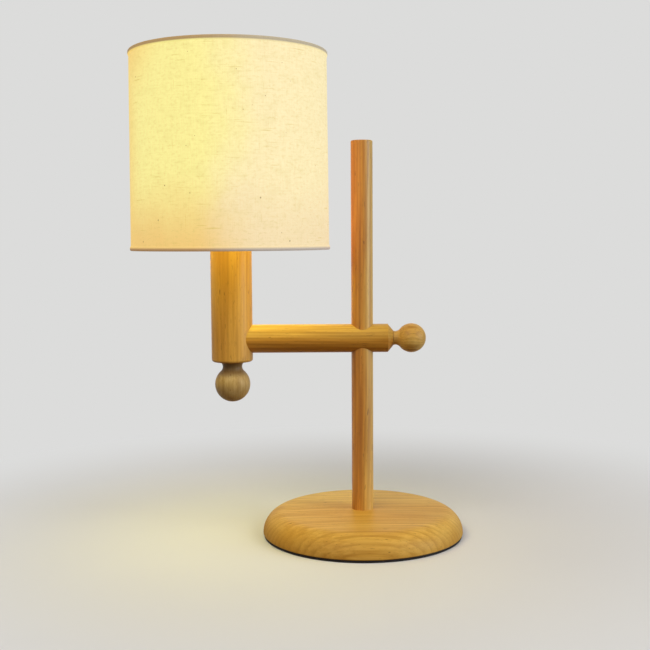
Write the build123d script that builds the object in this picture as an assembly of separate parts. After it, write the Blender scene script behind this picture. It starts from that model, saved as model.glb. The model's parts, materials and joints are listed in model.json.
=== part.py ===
"""A wooden desk lamp: a round base, an upright post, an arm that slides and turns on the post, and a
shaded head that tilts on the arm. Each joint is locked by a screw with a ball knob.

Millimetres, +Z up. The origin is on the table, under the axis of the post. The arm lies along X, with
the head at -X and its locking knob at +X. The cord leaves the head towards +Y."""

import os
from math import atan2, cos, pi, radians, sin, sqrt

from build123d import *

# ---------------------------------------------------------------------------------------------------
# Fits: the clearance on a radius, or at an end, by how two pieces meet
# ---------------------------------------------------------------------------------------------------
PRESS_GAP = 0.02  # glued, pressed or self-tapped
THREAD_GAP = 0.05  # a screw thread in its nut or insert
RUNNING_GAP = 0.06  # pieces that slide or turn on each other
LOOSE_GAP = 0.3  # a piece beside its seat
OVERSHOOT = 5.0  # how far a cutting tool runs past the face it opens

# ---------------------------------------------------------------------------------------------------
# Base
# ---------------------------------------------------------------------------------------------------
BASE_RADIUS = 102.6
BASE_EDGE_BREAK = 0.8  # bevel at the underside
BASE_SHOULDER_ROUND = 21.6  # quarter round that forms the rim
BASE_CROWN = 1.3  # rise of the top face from the rim to the middle
BASE_PAD_THICKNESS = 2.5
BASE_PAD_INSET = 1.0
BALLAST_RADIUS = 76.0
BALLAST_THICKNESS = 11.0
BALLAST_COVER = 0.5  # recess left below the ballast
BALLAST_SCREW_COUNT = 3
BALLAST_SCREW_CIRCLE = 60.0
BALLAST_SCREW_LENGTH = 18.0
BALLAST_SCREW_SHANK = 2.0
BALLAST_SCREW_HEAD = 4.0

# ---------------------------------------------------------------------------------------------------
# Post and the screw that holds it to the base
# ---------------------------------------------------------------------------------------------------
POST_RADIUS = 11.0
POST_LENGTH = 387.5
POST_TOP_ROUND = 1.2
POST_INSERT_LENGTH = 20.0
POST_BOLT_LENGTH = 28.0
POST_BOLT_HEAD = 8.0
POST_BOLT_HEAD_HEIGHT = 4.4
POST_BOLT_SOCKET = 2.5  # radius across the flats of its hexagon socket
POST_BOLT_SOCKET_DEPTH = 2.6

# ---------------------------------------------------------------------------------------------------
# Threads and inserts, the same in the post, the arm and the head (M8)
# ---------------------------------------------------------------------------------------------------
THREAD_RADIUS = 4.0
THREAD_PITCH = 1.25
INSERT_RADIUS = 6.0
INSERT_SINK = 0.3  # how far an insert lies below the wood's face

# ---------------------------------------------------------------------------------------------------
# Arm, with the liner that it slides on
# ---------------------------------------------------------------------------------------------------
ARM_HEIGHT = 202.5  # axis of the arm above the table, as posed
ARM_RADIUS = 14.4
ARM_END = 31.2  # end face, from the axis of the post
ARM_END_RADIUS = 8.1  # of the end face, inside its bevel
ARM_END_BEVEL = 5.3  # length of the bevel
ARM_TENON_CHAMFER = 0.8
HEAD_OFFSET = 132.5  # axis of the head, from the axis of the post
TENON_PAST_AXIS = 12.0  # how far the arm reaches past the axis of the head
GROOVE_DEPTH = 1.5  # ring groove in the tenon that the tilt pad runs in
POST_BORE_GAP = 0.12
LINER_WALL = 0.7
LINER_LENGTH = 15.0
LINER_SLIT = 3.0

# ---------------------------------------------------------------------------------------------------
# Screw clamps
# ---------------------------------------------------------------------------------------------------
CLAMP_TURNS = 1.0  # from tight to fully loosened
PAD_RADIUS = 5.0
NOSE_RADIUS = 2.4  # tip of the stud, which turns in the pad
NOSE_DEPTH = 1.8
KNOB_GAP = 0.3  # between a tight knob and the wood it locks
KNOB_COVE_RADIUS = 6.0  # hollow round that forms the neck
HEIGHT_PAD_LENGTH = 5.5
HEIGHT_SEAT_RADIUS = 7.4
HEIGHT_BALL_RADIUS = 14.8
HEIGHT_BALL_REACH = 18.5  # centre of the ball from the knob's seat
HEIGHT_STUD_GRIP = 20.0  # length of stud inside the knob
TILT_PAD_LENGTH = 3.0
TILT_SEAT_RADIUS = 12.7
TILT_BALL_RADIUS = 17.95
TILT_BALL_REACH = 23.0
TILT_STUD_GRIP = 24.0

# ---------------------------------------------------------------------------------------------------
# Head body: heights are measured from the axis of the arm
# ---------------------------------------------------------------------------------------------------
BODY_RADIUS = 20.9
BODY_BOTTOM = -23.0
BODY_BOTTOM_ROUND = 2.5
BODY_TOP = 95.5
BODY_TOP_ROUND = 1.2
CORD_EXIT_HEIGHT = 30.0
CORD_CHANNEL_RADIUS = 4.5
GROMMET_BORE_RADIUS = 3.4
GROMMET_BARREL_RADIUS = 5.5
GROMMET_BARREL_LENGTH = 7.0
GROMMET_FLANGE_RADIUS = 7.5
GROMMET_FLANGE_THICKNESS = 1.4

# ---------------------------------------------------------------------------------------------------
# Lampholder: heights are measured from the top of the head body
# ---------------------------------------------------------------------------------------------------
PLATE_RADIUS = 18.0
PLATE_THICKNESS = 1.5
PLATE_SCREW_COUNT = 3
PLATE_SCREW_CIRCLE = 14.4
PLATE_SCREW_LENGTH = 12.0
PLATE_SCREW_SHANK = 1.5
PLATE_SCREW_HEAD = 2.9
PLATE_SCREW_HEAD_HEIGHT = 1.6
NIPPLE_RADIUS = 4.95
NIPPLE_BORE_RADIUS = 3.5
NIPPLE_ABOVE_PLATE = 9.0
NIPPLE_BELOW_NUT = 1.0
NUT_ACROSS_FLATS = 16.0
NUT_THICKNESS = 4.0
CAP_HUB_RADIUS = 9.5
CAP_HUB_HEIGHT = 4.0
CAP_RADIUS = 20.0
CAP_HEIGHT = 22.0
CAP_WALL = 2.2
CAP_FLOOR = 5.0
CAP_FLARE = 6.0  # height over which the hub widens to the cap
HOLDER_SPIGOT = 3.0
SHOULDER_RADIUS = 21.5
SHOULDER_HEIGHT = 8.0
HOLDER_THREAD_RADIUS = 19.3
HOLDER_HEIGHT = 30.0
HOLDER_BORE_RADIUS = 14.4
CORE_RADIUS = 16.2
CORE_BELOW_CAP_EDGE = 5.0
CORE_ABOVE_CAP_EDGE = 2.0
TERMINAL_OFFSET = 9.0
TERMINAL_HEAD = 2.6
TERMINAL_HEAD_HEIGHT = 1.8
TERMINAL_SHANK = 1.5
TERMINAL_DEPTH = 4.5
SWITCH_BAR_RADIUS = 2.5
SWITCH_TRAVEL = 4.0
SWITCH_STAND_OUT = 3.0  # of the cap, at the end that is pushed in
SWITCH_COLLAR_RADIUS = 3.6
SWITCH_COLLAR_WIDTH = 4.0
SWITCH_FORK_WIDTH = 9.0
SWITCH_FORK_THICKNESS = 2.0
SWITCH_FORK_GRIP = 1.5  # how far the forks reach past the bar's axis
CONTACT_WIDTH = 5.0
CONTACT_THICKNESS = 0.6
CONTACT_FOOT = 5.0
CONTACT_RUN = 4.0
CONTACT_TOUCH = 2.5
EDISON_PITCH = 3.63
EDISON_WAVE = 0.52  # half the depth of the rolled thread
SOCKET_TURNS = 6
SOCKET_MEAN_RADIUS = 12.95
SOCKET_SHEET = 0.5
SHADE_NUT_FLANGE_RADIUS = 26.0
SHADE_NUT_FLANGE = 1.6
SHADE_NUT_RADIUS = 23.4
SHADE_NUT_HEIGHT = 5.6

# ---------------------------------------------------------------------------------------------------
# Bulb: lengths up its own axis
# ---------------------------------------------------------------------------------------------------
BULB_TIP_RADIUS = 4.6
BULB_TIP_HEIGHT = 1.2
BULB_INSULATOR_RADIUS = 10.6
BULB_INSULATOR_HEIGHT = 3.6
BULB_THREAD_MEAN_RADIUS = 12.55
BULB_THREAD_TURNS = 4
BULB_START_TURN = 3  # turn of the socket's thread where the bulb's begins
BULB_COLLAR_RADIUS = 13.3
BULB_COLLAR_HEIGHT = 5.0
BULB_NECK_RADIUS = 13.9
BULB_HOUSING_HEIGHT = 34.0
BULB_HOUSING_BELLY = 18.6  # radius of the housing half way up
BULB_WALL = 1.4
BULB_GLOBE_RADIUS = 30.0
BULB_GLOBE_LIFT = 10.0  # centre of the globe above its rim
BULB_BOARD_RADIUS = 24.0
BULB_BOARD_THICKNESS = 1.6

# ---------------------------------------------------------------------------------------------------
# Shade: its bottom edge is measured from the axis of the arm
# ---------------------------------------------------------------------------------------------------
SHADE_BOTTOM = 90.2
SHADE_HEIGHT = 195.7
SHADE_BOTTOM_RADIUS = 100.0
SHADE_TAPER = 1.6  # how much smaller its radius is at the top
HEM_THICKNESS = 0.5
HEM_WIDTH = 4.6
HEM_RETURN = 3.6  # height of the hem's inner leg
FABRIC_THICKNESS = 0.6
SHADE_LINER_THICKNESS = 0.5
RING_WIRE_RADIUS = 1.5
FITTER_WIRE_RADIUS = 1.4
FITTER_ARM_COUNT = 3
FITTER_ARM_ANGLE = 90.0
FITTER_RING_RADIUS = 26.0
FITTER_RING_THICKNESS = 1.5
FITTER_WELD = 0.4  # how deep an arm's wire lies in the fitter ring

# ---------------------------------------------------------------------------------------------------
# Places worked out from the sizes
# ---------------------------------------------------------------------------------------------------
BASE_UNDERSIDE = BASE_PAD_THICKNESS
BASE_SHOULDER_HEIGHT = BASE_UNDERSIDE + BASE_EDGE_BREAK  # centre of the rim's round
BASE_TOP = BASE_SHOULDER_HEIGHT + BASE_SHOULDER_ROUND + BASE_CROWN
POST_FOOT = BASE_UNDERSIDE + BALLAST_COVER + BALLAST_THICKNESS  # on top of the ballast
POST_TOP = POST_FOOT + POST_LENGTH
BALLAST_UNDERSIDE = POST_FOOT - BALLAST_THICKNESS
LINER_OUTER = POST_RADIUS + RUNNING_GAP + LINER_WALL
CLAMP_TRAVEL = CLAMP_TURNS * THREAD_PITCH

HOLDER_EDGE = PLATE_THICKNESS + CAP_HEIGHT  # where lampholder cap and body meet
CORE_TOP = HOLDER_EDGE + CORE_ABOVE_CAP_EDGE
CORE_BOTTOM = HOLDER_EDGE - CORE_BELOW_CAP_EDGE
SWITCH_HEIGHT = CORE_BOTTOM - LOOSE_GAP - SWITCH_COLLAR_RADIUS  # axis of the switch bar
FITTER_SEAT = HOLDER_EDGE + SHOULDER_HEIGHT
FITTER_TOP = FITTER_SEAT + FITTER_RING_THICKNESS
BULB_THREAD = CORE_TOP + BULB_START_TURN * EDISON_PITCH
BULB_TIP = BULB_THREAD - BULB_INSULATOR_HEIGHT - BULB_TIP_HEIGHT
CONTACT_RISE = BULB_TIP - RUNNING_GAP - CONTACT_THICKNESS - CORE_TOP
BULB_COLLAR = BULB_THREAD + BULB_THREAD_TURNS * EDISON_PITCH
BULB_NECK = BULB_COLLAR + BULB_COLLAR_HEIGHT
BULB_RIM = BULB_NECK + BULB_HOUSING_HEIGHT
BULB_RIM_RADIUS = sqrt(BULB_GLOBE_RADIUS**2 - BULB_GLOBE_LIFT**2)

SHADE_SKIN = HEM_THICKNESS + FABRIC_THICKNESS + SHADE_LINER_THICKNESS
RING_INSET = SHADE_SKIN + RUNNING_GAP + RING_WIRE_RADIUS  # centre of a shade ring's wire

HEAD = Pos(-HEAD_OFFSET, 0, ARM_HEIGHT)  # where the axes of the head and the arm cross
HOLDER = HEAD * Pos(0, 0, BODY_TOP)
SHADE = HEAD * Pos(0, 0, SHADE_BOTTOM)
ARM = Pos(0, 0, ARM_HEIGHT) * Rot(0, 90, 0)  # turns Z into the direction of the arm
SWITCH = HOLDER * Pos(0, 0, SWITCH_HEIGHT) * Rot(-90, 0, 0)  # turns Z into +Y
CORD_EXIT = Plane(origin=(-HEAD_OFFSET, 0, ARM_HEIGHT + CORD_EXIT_HEIGHT), x_dir=(1, 0, 0), z_dir=(0, 1, 0))
HEIGHT_CLAMP = Plane(origin=(0, 0, ARM_HEIGHT), x_dir=(0, 0, 1), z_dir=(1, 0, 0))
TILT_CLAMP = Plane(origin=(-HEAD_OFFSET, 0, ARM_HEIGHT), x_dir=(1, 0, 0), z_dir=(0, 0, -1))


# ---------------------------------------------------------------------------------------------------
# Basic solids
# ---------------------------------------------------------------------------------------------------
def rod(radius, low, high):
    """A cylinder about Z from one height to another."""
    return Pos(0, 0, (low + high) / 2) * Cylinder(radius, high - low)


def tube(outer, inner, low, high):
    """A hollow cylinder about Z."""
    return rod(outer, low, high) - rod(inner, low, high)


def turned(*outline):
    """The solid of revolution about Z of a closed polygon of (radius, height) points."""
    return revolve(Plane.XZ * make_face(Polyline(*outline, close=True)), Axis.Z)


def turned_edges(*edges):
    """The solid of revolution about Z of a closed outline of lines and arcs."""
    return revolve(Plane.XZ * make_face(Curve() + list(edges)), Axis.Z)


def ring_of(count, radius, piece, start=0.0):
    """Copies of a piece, evenly spaced on a circle about Z."""
    spacing = 360.0 / count
    return [Rot(0, 0, start + i * spacing) * Pos(radius, 0, 0) * piece for i in range(count)]


def countersunk_screw(head_radius, shank_radius, length):
    """A flat-headed wood screw whose head is level with Z = 0 and whose point is up."""
    head_height = head_radius - shank_radius
    point = 2 * shank_radius
    screw = turned(
        (0, 0),
        (head_radius, 0),
        (shank_radius, head_height),
        (shank_radius, length - point),
        (0, length),
    )
    slot_width = 0.3 * head_radius
    slot = Box(1.3 * head_radius, slot_width, head_height)
    return screw - slot - Rot(0, 0, 90) * slot


def countersink(head_radius, shank_radius, length, gap):
    """The hole for such a screw, open below its head."""
    head_height = head_radius - shank_radius
    return turned(
        (0, -OVERSHOOT),
        (head_radius + gap, -OVERSHOOT),
        (head_radius + gap, 0),
        (shank_radius + gap, head_height),
        (shank_radius + gap, length),
        (0, length),
    )


def rolled_thread(mean_radius, low, turns):
    """The edges of a rolled lamp thread seen in section, as rings: one wave for each turn."""
    edges = []
    for i in range(2 * turns):
        start = low + i * EDISON_PITCH / 2
        bulge = EDISON_WAVE if i % 2 == 0 else -EDISON_WAVE
        edges.append(
            ThreePointArc(
                (mean_radius, start),
                (mean_radius + bulge, start + EDISON_PITCH / 4),
                (mean_radius, start + EDISON_PITCH / 2),
            )
        )
    return edges


# ---------------------------------------------------------------------------------------------------
# Base
# ---------------------------------------------------------------------------------------------------
def base_pad():
    """The soft sheet under the base that the lamp stands on."""
    return rod(BASE_RADIUS - BASE_PAD_INSET, 0, BASE_PAD_THICKNESS)


def ballast_screw_places(piece):
    """Copies of a piece at the ballast's screws, at the ballast's underside."""
    copies = ring_of(BALLAST_SCREW_COUNT, BALLAST_SCREW_CIRCLE, piece)
    return [Pos(0, 0, BALLAST_UNDERSIDE) * copy for copy in copies]


def base_dome():
    """The turned wooden base: a quarter-round rim that meets a slightly crowned top."""
    rise = BASE_SHOULDER_ROUND + BASE_CROWN
    flat = BASE_RADIUS - BASE_SHOULDER_ROUND
    crown_radius = (flat**2 + rise**2 - BASE_SHOULDER_ROUND**2) / (2 * BASE_CROWN)
    crown_centre = BASE_TOP - crown_radius
    meet = atan2(flat, BASE_SHOULDER_HEIGHT - crown_centre)  # angle off Z where the two arcs touch

    def on_crown(angle):
        return crown_radius * sin(angle), crown_centre + crown_radius * cos(angle)

    def on_shoulder(angle):
        round_radius = BASE_SHOULDER_ROUND
        return flat + round_radius * sin(angle), BASE_SHOULDER_HEIGHT + round_radius * cos(angle)

    dome = turned_edges(
        Polyline(
            (0, BASE_TOP),
            (0, BASE_UNDERSIDE),
            (BASE_RADIUS - BASE_EDGE_BREAK, BASE_UNDERSIDE),
            (BASE_RADIUS, BASE_SHOULDER_HEIGHT),
        ),
        ThreePointArc(on_crown(0), on_crown(meet / 2), on_crown(meet)),
        ThreePointArc(on_shoulder(meet), on_shoulder((meet + pi / 2) / 2), (BASE_RADIUS, BASE_SHOULDER_HEIGHT)),
    )
    dome -= rod(BALLAST_RADIUS + LOOSE_GAP, BASE_UNDERSIDE - OVERSHOOT, POST_FOOT)
    dome -= rod(POST_RADIUS + PRESS_GAP, BASE_UNDERSIDE, BASE_TOP + OVERSHOOT)
    pilot = rod(BALLAST_SCREW_SHANK + PRESS_GAP, 0, BALLAST_SCREW_LENGTH + LOOSE_GAP)
    for hole in ballast_screw_places(pilot):
        dome -= hole
    return dome


def ballast_disc():
    """The cast disc in the base that keeps the lamp upright."""
    disc = rod(BALLAST_RADIUS, BALLAST_UNDERSIDE, POST_FOOT)
    bolt_hole = countersink(POST_BOLT_HEAD, THREAD_RADIUS, POST_BOLT_LENGTH, LOOSE_GAP)
    disc -= Pos(0, 0, BALLAST_UNDERSIDE) * bolt_hole
    screw_hole = countersink(BALLAST_SCREW_HEAD, BALLAST_SCREW_SHANK, BALLAST_SCREW_LENGTH, LOOSE_GAP)
    for hole in ballast_screw_places(screw_hole):
        disc -= hole
    return disc


def ballast_screws():
    """The wood screws that hold the ballast in the base."""
    screw = countersunk_screw(BALLAST_SCREW_HEAD, BALLAST_SCREW_SHANK, BALLAST_SCREW_LENGTH)
    return Compound(children=ballast_screw_places(screw))


def post_bolt():
    """The flat-headed machine screw that draws the post down onto the ballast."""
    head_slope = POST_BOLT_HEAD - THREAD_RADIUS
    bolt = turned(
        (0, 0),
        (POST_BOLT_HEAD, 0),
        (THREAD_RADIUS, head_slope),
        (THREAD_RADIUS, POST_BOLT_LENGTH - 1),
        (THREAD_RADIUS - 1, POST_BOLT_LENGTH),
        (0, POST_BOLT_LENGTH),
    )
    socket = extrude(RegularPolygon(POST_BOLT_SOCKET, 6, major_radius=False), POST_BOLT_SOCKET_DEPTH)
    return Pos(0, 0, BALLAST_UNDERSIDE) * (bolt - socket)


# ---------------------------------------------------------------------------------------------------
# Post
# ---------------------------------------------------------------------------------------------------
def post():
    """The upright dowel, bored at its foot for a threaded insert."""
    dowel = rod(POST_RADIUS, POST_FOOT, POST_TOP)
    dowel = fillet(dowel.edges().sort_by(Axis.Z)[-1], POST_TOP_ROUND)
    dowel -= rod(INSERT_RADIUS + PRESS_GAP, POST_FOOT - OVERSHOOT, POST_FOOT + INSERT_SINK + POST_INSERT_LENGTH)
    bolt_room = max(POST_BOLT_LENGTH - BALLAST_THICKNESS, POST_INSERT_LENGTH) + 2
    return dowel - rod(THREAD_RADIUS + LOOSE_GAP, POST_FOOT, POST_FOOT + bolt_room)


def post_insert():
    """The threaded brass insert in the foot of the post."""
    low = POST_FOOT + INSERT_SINK
    return tube(INSERT_RADIUS, THREAD_RADIUS + THREAD_GAP, low, low + POST_INSERT_LENGTH)


def post_liner():
    """The split plastic sleeve on the post, which rides up and down with the arm and is turned on by it."""
    sleeve = tube(LINER_OUTER, POST_RADIUS + RUNNING_GAP, -LINER_LENGTH / 2, LINER_LENGTH / 2)
    sleeve -= Pos(-LINER_OUTER, 0, 0) * Box(2 * POST_RADIUS, LINER_SLIT, 2 * LINER_LENGTH)
    return Pos(0, 0, ARM_HEIGHT) * sleeve


# ---------------------------------------------------------------------------------------------------
# Screw clamps
# ---------------------------------------------------------------------------------------------------
class Clamp:
    """A screw with a ball knob in the end of a round wooden bar. Its frame has the knob along +Z and
    its origin on the axis of the round member that the pad presses, which lies along the frame's X."""

    def __init__(self, frame, bearing_radius, end_face, pad_length, seat_radius, ball_radius, ball_reach, grip):
        self.frame = frame
        self.bearing = bearing_radius + RUNNING_GAP
        self.pad_back = self.bearing + pad_length
        self.insert_start = self.pad_back + CLAMP_TRAVEL + LOOSE_GAP
        self.end_face = end_face
        self.knob_seat = end_face + KNOB_GAP
        self.seat_radius = seat_radius
        self.ball_radius = ball_radius
        self.ball_centre = self.knob_seat + ball_reach
        self.stud_end = self.knob_seat + grip

    def chamber(self):
        """The stepped hole in the bar: a bore for the pad and a wider seat for the insert."""
        pad_bore = rod(PAD_RADIUS + RUNNING_GAP, 0, self.end_face)
        insert_seat = rod(INSERT_RADIUS + PRESS_GAP, self.insert_start, self.end_face + OVERSHOOT)
        return self.frame * (pad_bore + insert_seat)

    def insert(self):
        """The threaded brass insert."""
        wall = tube(INSERT_RADIUS, THREAD_RADIUS + THREAD_GAP, self.insert_start, self.end_face - INSERT_SINK)
        return self.frame * wall

    def pad(self):
        """The pressure pad, hollowed to the member that it presses, with a socket for the stud's nose."""
        plug = rod(PAD_RADIUS, 0, self.pad_back)
        plug -= Rot(0, 90, 0) * Cylinder(self.bearing, 4 * PAD_RADIUS)
        socket = rod(NOSE_RADIUS + RUNNING_GAP, self.pad_back - NOSE_DEPTH - RUNNING_GAP, self.pad_back + OVERSHOOT)
        return self.frame * (plug - socket)

    def stud(self):
        """The threaded stud, with a plain nose at the pad and its other end fast in the knob."""
        shoulder = self.pad_back + RUNNING_GAP
        bevel = 0.8
        stud = turned(
            (0, self.pad_back - NOSE_DEPTH),
            (NOSE_RADIUS, self.pad_back - NOSE_DEPTH),
            (NOSE_RADIUS, shoulder),
            (THREAD_RADIUS - bevel, shoulder),
            (THREAD_RADIUS, shoulder + bevel),
            (THREAD_RADIUS, self.stud_end - bevel),
            (THREAD_RADIUS - bevel, self.stud_end),
            (0, self.stud_end),
        )
        return self.frame * stud

    def knob(self):
        """The turned wooden ball. A cove from the seat's edge to the ball, which it touches, is its neck."""
        seat_edge = Vector(self.seat_radius, self.knob_seat)
        ball = Vector(0, self.ball_centre)
        towards = ball - seat_edge
        span = towards.length
        along = (KNOB_COVE_RADIUS**2 - (self.ball_radius + KNOB_COVE_RADIUS) ** 2 + span**2) / (2 * span)
        aside = sqrt(KNOB_COVE_RADIUS**2 - along**2)
        unit = towards.normalized()
        cove = seat_edge + unit * along + Vector(unit.Y, -unit.X) * aside
        touch = ball + (cove - ball).normalized() * self.ball_radius
        inward = ((seat_edge - cove).normalized() + (touch - cove).normalized()).normalized()
        knob = turned_edges(
            Polyline((0, self.ball_centre + self.ball_radius), (0, self.knob_seat), seat_edge),
            ThreePointArc(seat_edge, cove + inward * KNOB_COVE_RADIUS, touch),
            ThreePointArc(touch, ball + Vector(1, 0) * self.ball_radius, ball + Vector(0, 1) * self.ball_radius),
        )
        return self.frame * (knob - rod(THREAD_RADIUS + PRESS_GAP, self.knob_seat - OVERSHOOT, self.stud_end))


height_clamp = Clamp(
    HEIGHT_CLAMP,
    LINER_OUTER,
    ARM_END,
    HEIGHT_PAD_LENGTH,
    HEIGHT_SEAT_RADIUS,
    HEIGHT_BALL_RADIUS,
    HEIGHT_BALL_REACH,
    HEIGHT_STUD_GRIP,
)
tilt_clamp = Clamp(
    TILT_CLAMP,
    ARM_RADIUS - GROOVE_DEPTH,
    -BODY_BOTTOM,
    TILT_PAD_LENGTH,
    TILT_SEAT_RADIUS,
    TILT_BALL_RADIUS,
    TILT_BALL_REACH,
    TILT_STUD_GRIP,
)


# ---------------------------------------------------------------------------------------------------
# Arm
# ---------------------------------------------------------------------------------------------------
def arm():
    """The turned arm: a bevelled end with the height screw, a cross bore for the post and its liner,
    and a tenon with a ring groove that turns in the head."""
    tenon_end = -HEAD_OFFSET - TENON_PAST_AXIS
    half_groove = PAD_RADIUS + LOOSE_GAP
    bar = ARM * turned(
        (0, tenon_end),
        (ARM_RADIUS - ARM_TENON_CHAMFER, tenon_end),
        (ARM_RADIUS, tenon_end + ARM_TENON_CHAMFER),
        (ARM_RADIUS, -HEAD_OFFSET - half_groove),
        (ARM_RADIUS - GROOVE_DEPTH, -HEAD_OFFSET - half_groove),
        (ARM_RADIUS - GROOVE_DEPTH, -HEAD_OFFSET + half_groove),
        (ARM_RADIUS, -HEAD_OFFSET + half_groove),
        (ARM_RADIUS, ARM_END - ARM_END_BEVEL),
        (ARM_END_RADIUS, ARM_END),
        (0, ARM_END),
    )
    post_bore = rod(POST_RADIUS + POST_BORE_GAP, -ARM_RADIUS - OVERSHOOT, ARM_RADIUS + OVERSHOOT)
    half_liner = LINER_LENGTH / 2 + LOOSE_GAP
    liner_room = rod(LINER_OUTER + RUNNING_GAP, -half_liner, half_liner)
    bar -= Pos(0, 0, ARM_HEIGHT) * (post_bore + liner_room)
    return bar - height_clamp.chamber()


# ---------------------------------------------------------------------------------------------------
# Head body and cord inlet
# ---------------------------------------------------------------------------------------------------
GROMMET_SEAT = sqrt(BODY_RADIUS**2 - (GROMMET_FLANGE_RADIUS + LOOSE_GAP) ** 2)  # flat behind its flange
NUT_ROOM_RADIUS = NUT_ACROSS_FLATS / 2 / cos(radians(30)) + LOOSE_GAP


def head_body():
    """The turned upright of the head: it carries the lampholder, turns on the arm and is bored for
    the cord, which comes in at its back."""
    body = rod(BODY_RADIUS, BODY_BOTTOM, BODY_TOP)
    body = fillet(body.edges().sort_by(Axis.Z)[-1], BODY_TOP_ROUND)
    body = fillet(body.edges().sort_by(Axis.Z)[0], BODY_BOTTOM_ROUND)
    body -= rod(CORD_CHANNEL_RADIUS, CORD_EXIT_HEIGHT - CORD_CHANNEL_RADIUS, BODY_TOP + OVERSHOOT)
    body -= rod(NUT_ROOM_RADIUS, BODY_TOP - NUT_THICKNESS - NIPPLE_BELOW_NUT - LOOSE_GAP, BODY_TOP + OVERSHOOT)
    pilot_depth = PLATE_SCREW_LENGTH + LOOSE_GAP
    pilot = rod(PLATE_SCREW_SHANK + PRESS_GAP, BODY_TOP - pilot_depth, BODY_TOP + OVERSHOOT)
    for hole in ring_of(PLATE_SCREW_COUNT, PLATE_SCREW_CIRCLE, pilot):
        body -= hole
    arm_bore_end = -TENON_PAST_AXIS - LOOSE_GAP
    body -= Rot(0, 90, 0) * rod(ARM_RADIUS + RUNNING_GAP, arm_bore_end, BODY_RADIUS + OVERSHOOT)
    body = HEAD * body
    body -= tilt_clamp.chamber()
    barrel_start = GROMMET_SEAT - GROMMET_BARREL_LENGTH
    inlet = rod(CORD_CHANNEL_RADIUS, 0, barrel_start + OVERSHOOT)
    inlet += rod(GROMMET_BARREL_RADIUS + PRESS_GAP, barrel_start, GROMMET_SEAT)
    inlet += rod(GROMMET_FLANGE_RADIUS + LOOSE_GAP, GROMMET_SEAT, BODY_RADIUS + OVERSHOOT)
    return body - CORD_EXIT * inlet


def cord_grommet():
    """The flanged bush in the back of the head that the cord passes through."""
    barrel_start = GROMMET_SEAT - GROMMET_BARREL_LENGTH
    face = GROMMET_SEAT + GROMMET_FLANGE_THICKNESS
    bush = rod(GROMMET_BARREL_RADIUS, barrel_start, GROMMET_SEAT)
    bush += rod(GROMMET_FLANGE_RADIUS, GROMMET_SEAT, face)
    bush = fillet(bush.edges().sort_by(Axis.Z)[-1], GROMMET_FLANGE_THICKNESS / 2)
    return CORD_EXIT * (bush - rod(GROMMET_BORE_RADIUS, barrel_start - OVERSHOOT, face + OVERSHOOT))


# ---------------------------------------------------------------------------------------------------
# Lampholder
# ---------------------------------------------------------------------------------------------------
def holder_plate():
    """The steel disc that carries the lampholder on top of the head body."""
    plate = rod(PLATE_RADIUS, 0, PLATE_THICKNESS) - rod(NIPPLE_RADIUS + THREAD_GAP, -1, PLATE_THICKNESS + 1)
    hole = rod(PLATE_SCREW_SHANK + PRESS_GAP, -1, PLATE_THICKNESS + 1)
    for cut in ring_of(PLATE_SCREW_COUNT, PLATE_SCREW_CIRCLE, hole):
        plate -= cut
    return HOLDER * plate


def plate_screws():
    """The round-headed wood screws through the plate."""
    head_top = PLATE_THICKNESS + PLATE_SCREW_HEAD_HEIGHT
    screw = turned(
        (0, -PLATE_SCREW_LENGTH),
        (PLATE_SCREW_SHANK, -PLATE_SCREW_LENGTH + 2 * PLATE_SCREW_SHANK),
        (PLATE_SCREW_SHANK, PLATE_THICKNESS),
        (PLATE_SCREW_HEAD, PLATE_THICKNESS),
        (PLATE_SCREW_HEAD, PLATE_THICKNESS + PLATE_SCREW_HEAD_HEIGHT / 2),
        (PLATE_SCREW_HEAD / 2, head_top),
        (0, head_top),
    )
    slot = Pos(0, 0, head_top) * Box(2 * PLATE_SCREW_HEAD, PLATE_SCREW_HEAD / 4, PLATE_SCREW_HEAD_HEIGHT)
    screws = ring_of(PLATE_SCREW_COUNT, PLATE_SCREW_CIRCLE, screw - slot)
    return Compound(children=[HOLDER * one for one in screws])


def nipple():
    """The hollow threaded tube that joins the lampholder to the plate and lets the cord through."""
    low = -NUT_THICKNESS - NIPPLE_BELOW_NUT
    return HOLDER * tube(NIPPLE_RADIUS, NIPPLE_BORE_RADIUS, low, PLATE_THICKNESS + NIPPLE_ABOVE_PLATE)


def nipple_nut():
    """The hexagon nut under the plate."""
    nut = extrude(RegularPolygon(NUT_ACROSS_FLATS / 2, 6, major_radius=False), -NUT_THICKNESS)
    return HOLDER * (nut - rod(NIPPLE_RADIUS + THREAD_GAP, -NUT_THICKNESS - 1, 1))


def holder_cap():
    """The lower half of the lampholder: a cup with a threaded hub, and holes for the switch bar."""
    low = PLATE_THICKNESS
    flare_start = low + CAP_HUB_HEIGHT
    flare_end = flare_start + CAP_FLARE
    cap = turned(
        (NIPPLE_RADIUS + THREAD_GAP, low),
        (CAP_HUB_RADIUS, low),
        (CAP_HUB_RADIUS, flare_start),
        (CAP_RADIUS, flare_end),
        (CAP_RADIUS, HOLDER_EDGE),
        (CAP_RADIUS - CAP_WALL, HOLDER_EDGE),
        (CAP_RADIUS - CAP_WALL, flare_end + CAP_WALL / 2),
        (CAP_HUB_RADIUS, low + CAP_FLOOR + CAP_WALL / 2),
        (NIPPLE_RADIUS + THREAD_GAP, low + CAP_FLOOR + CAP_WALL / 2),
    )
    bar_hole = rod(SWITCH_BAR_RADIUS + LOOSE_GAP, -CAP_RADIUS - OVERSHOOT, CAP_RADIUS + OVERSHOOT)
    return HOLDER * cap - SWITCH * bar_hole


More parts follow.
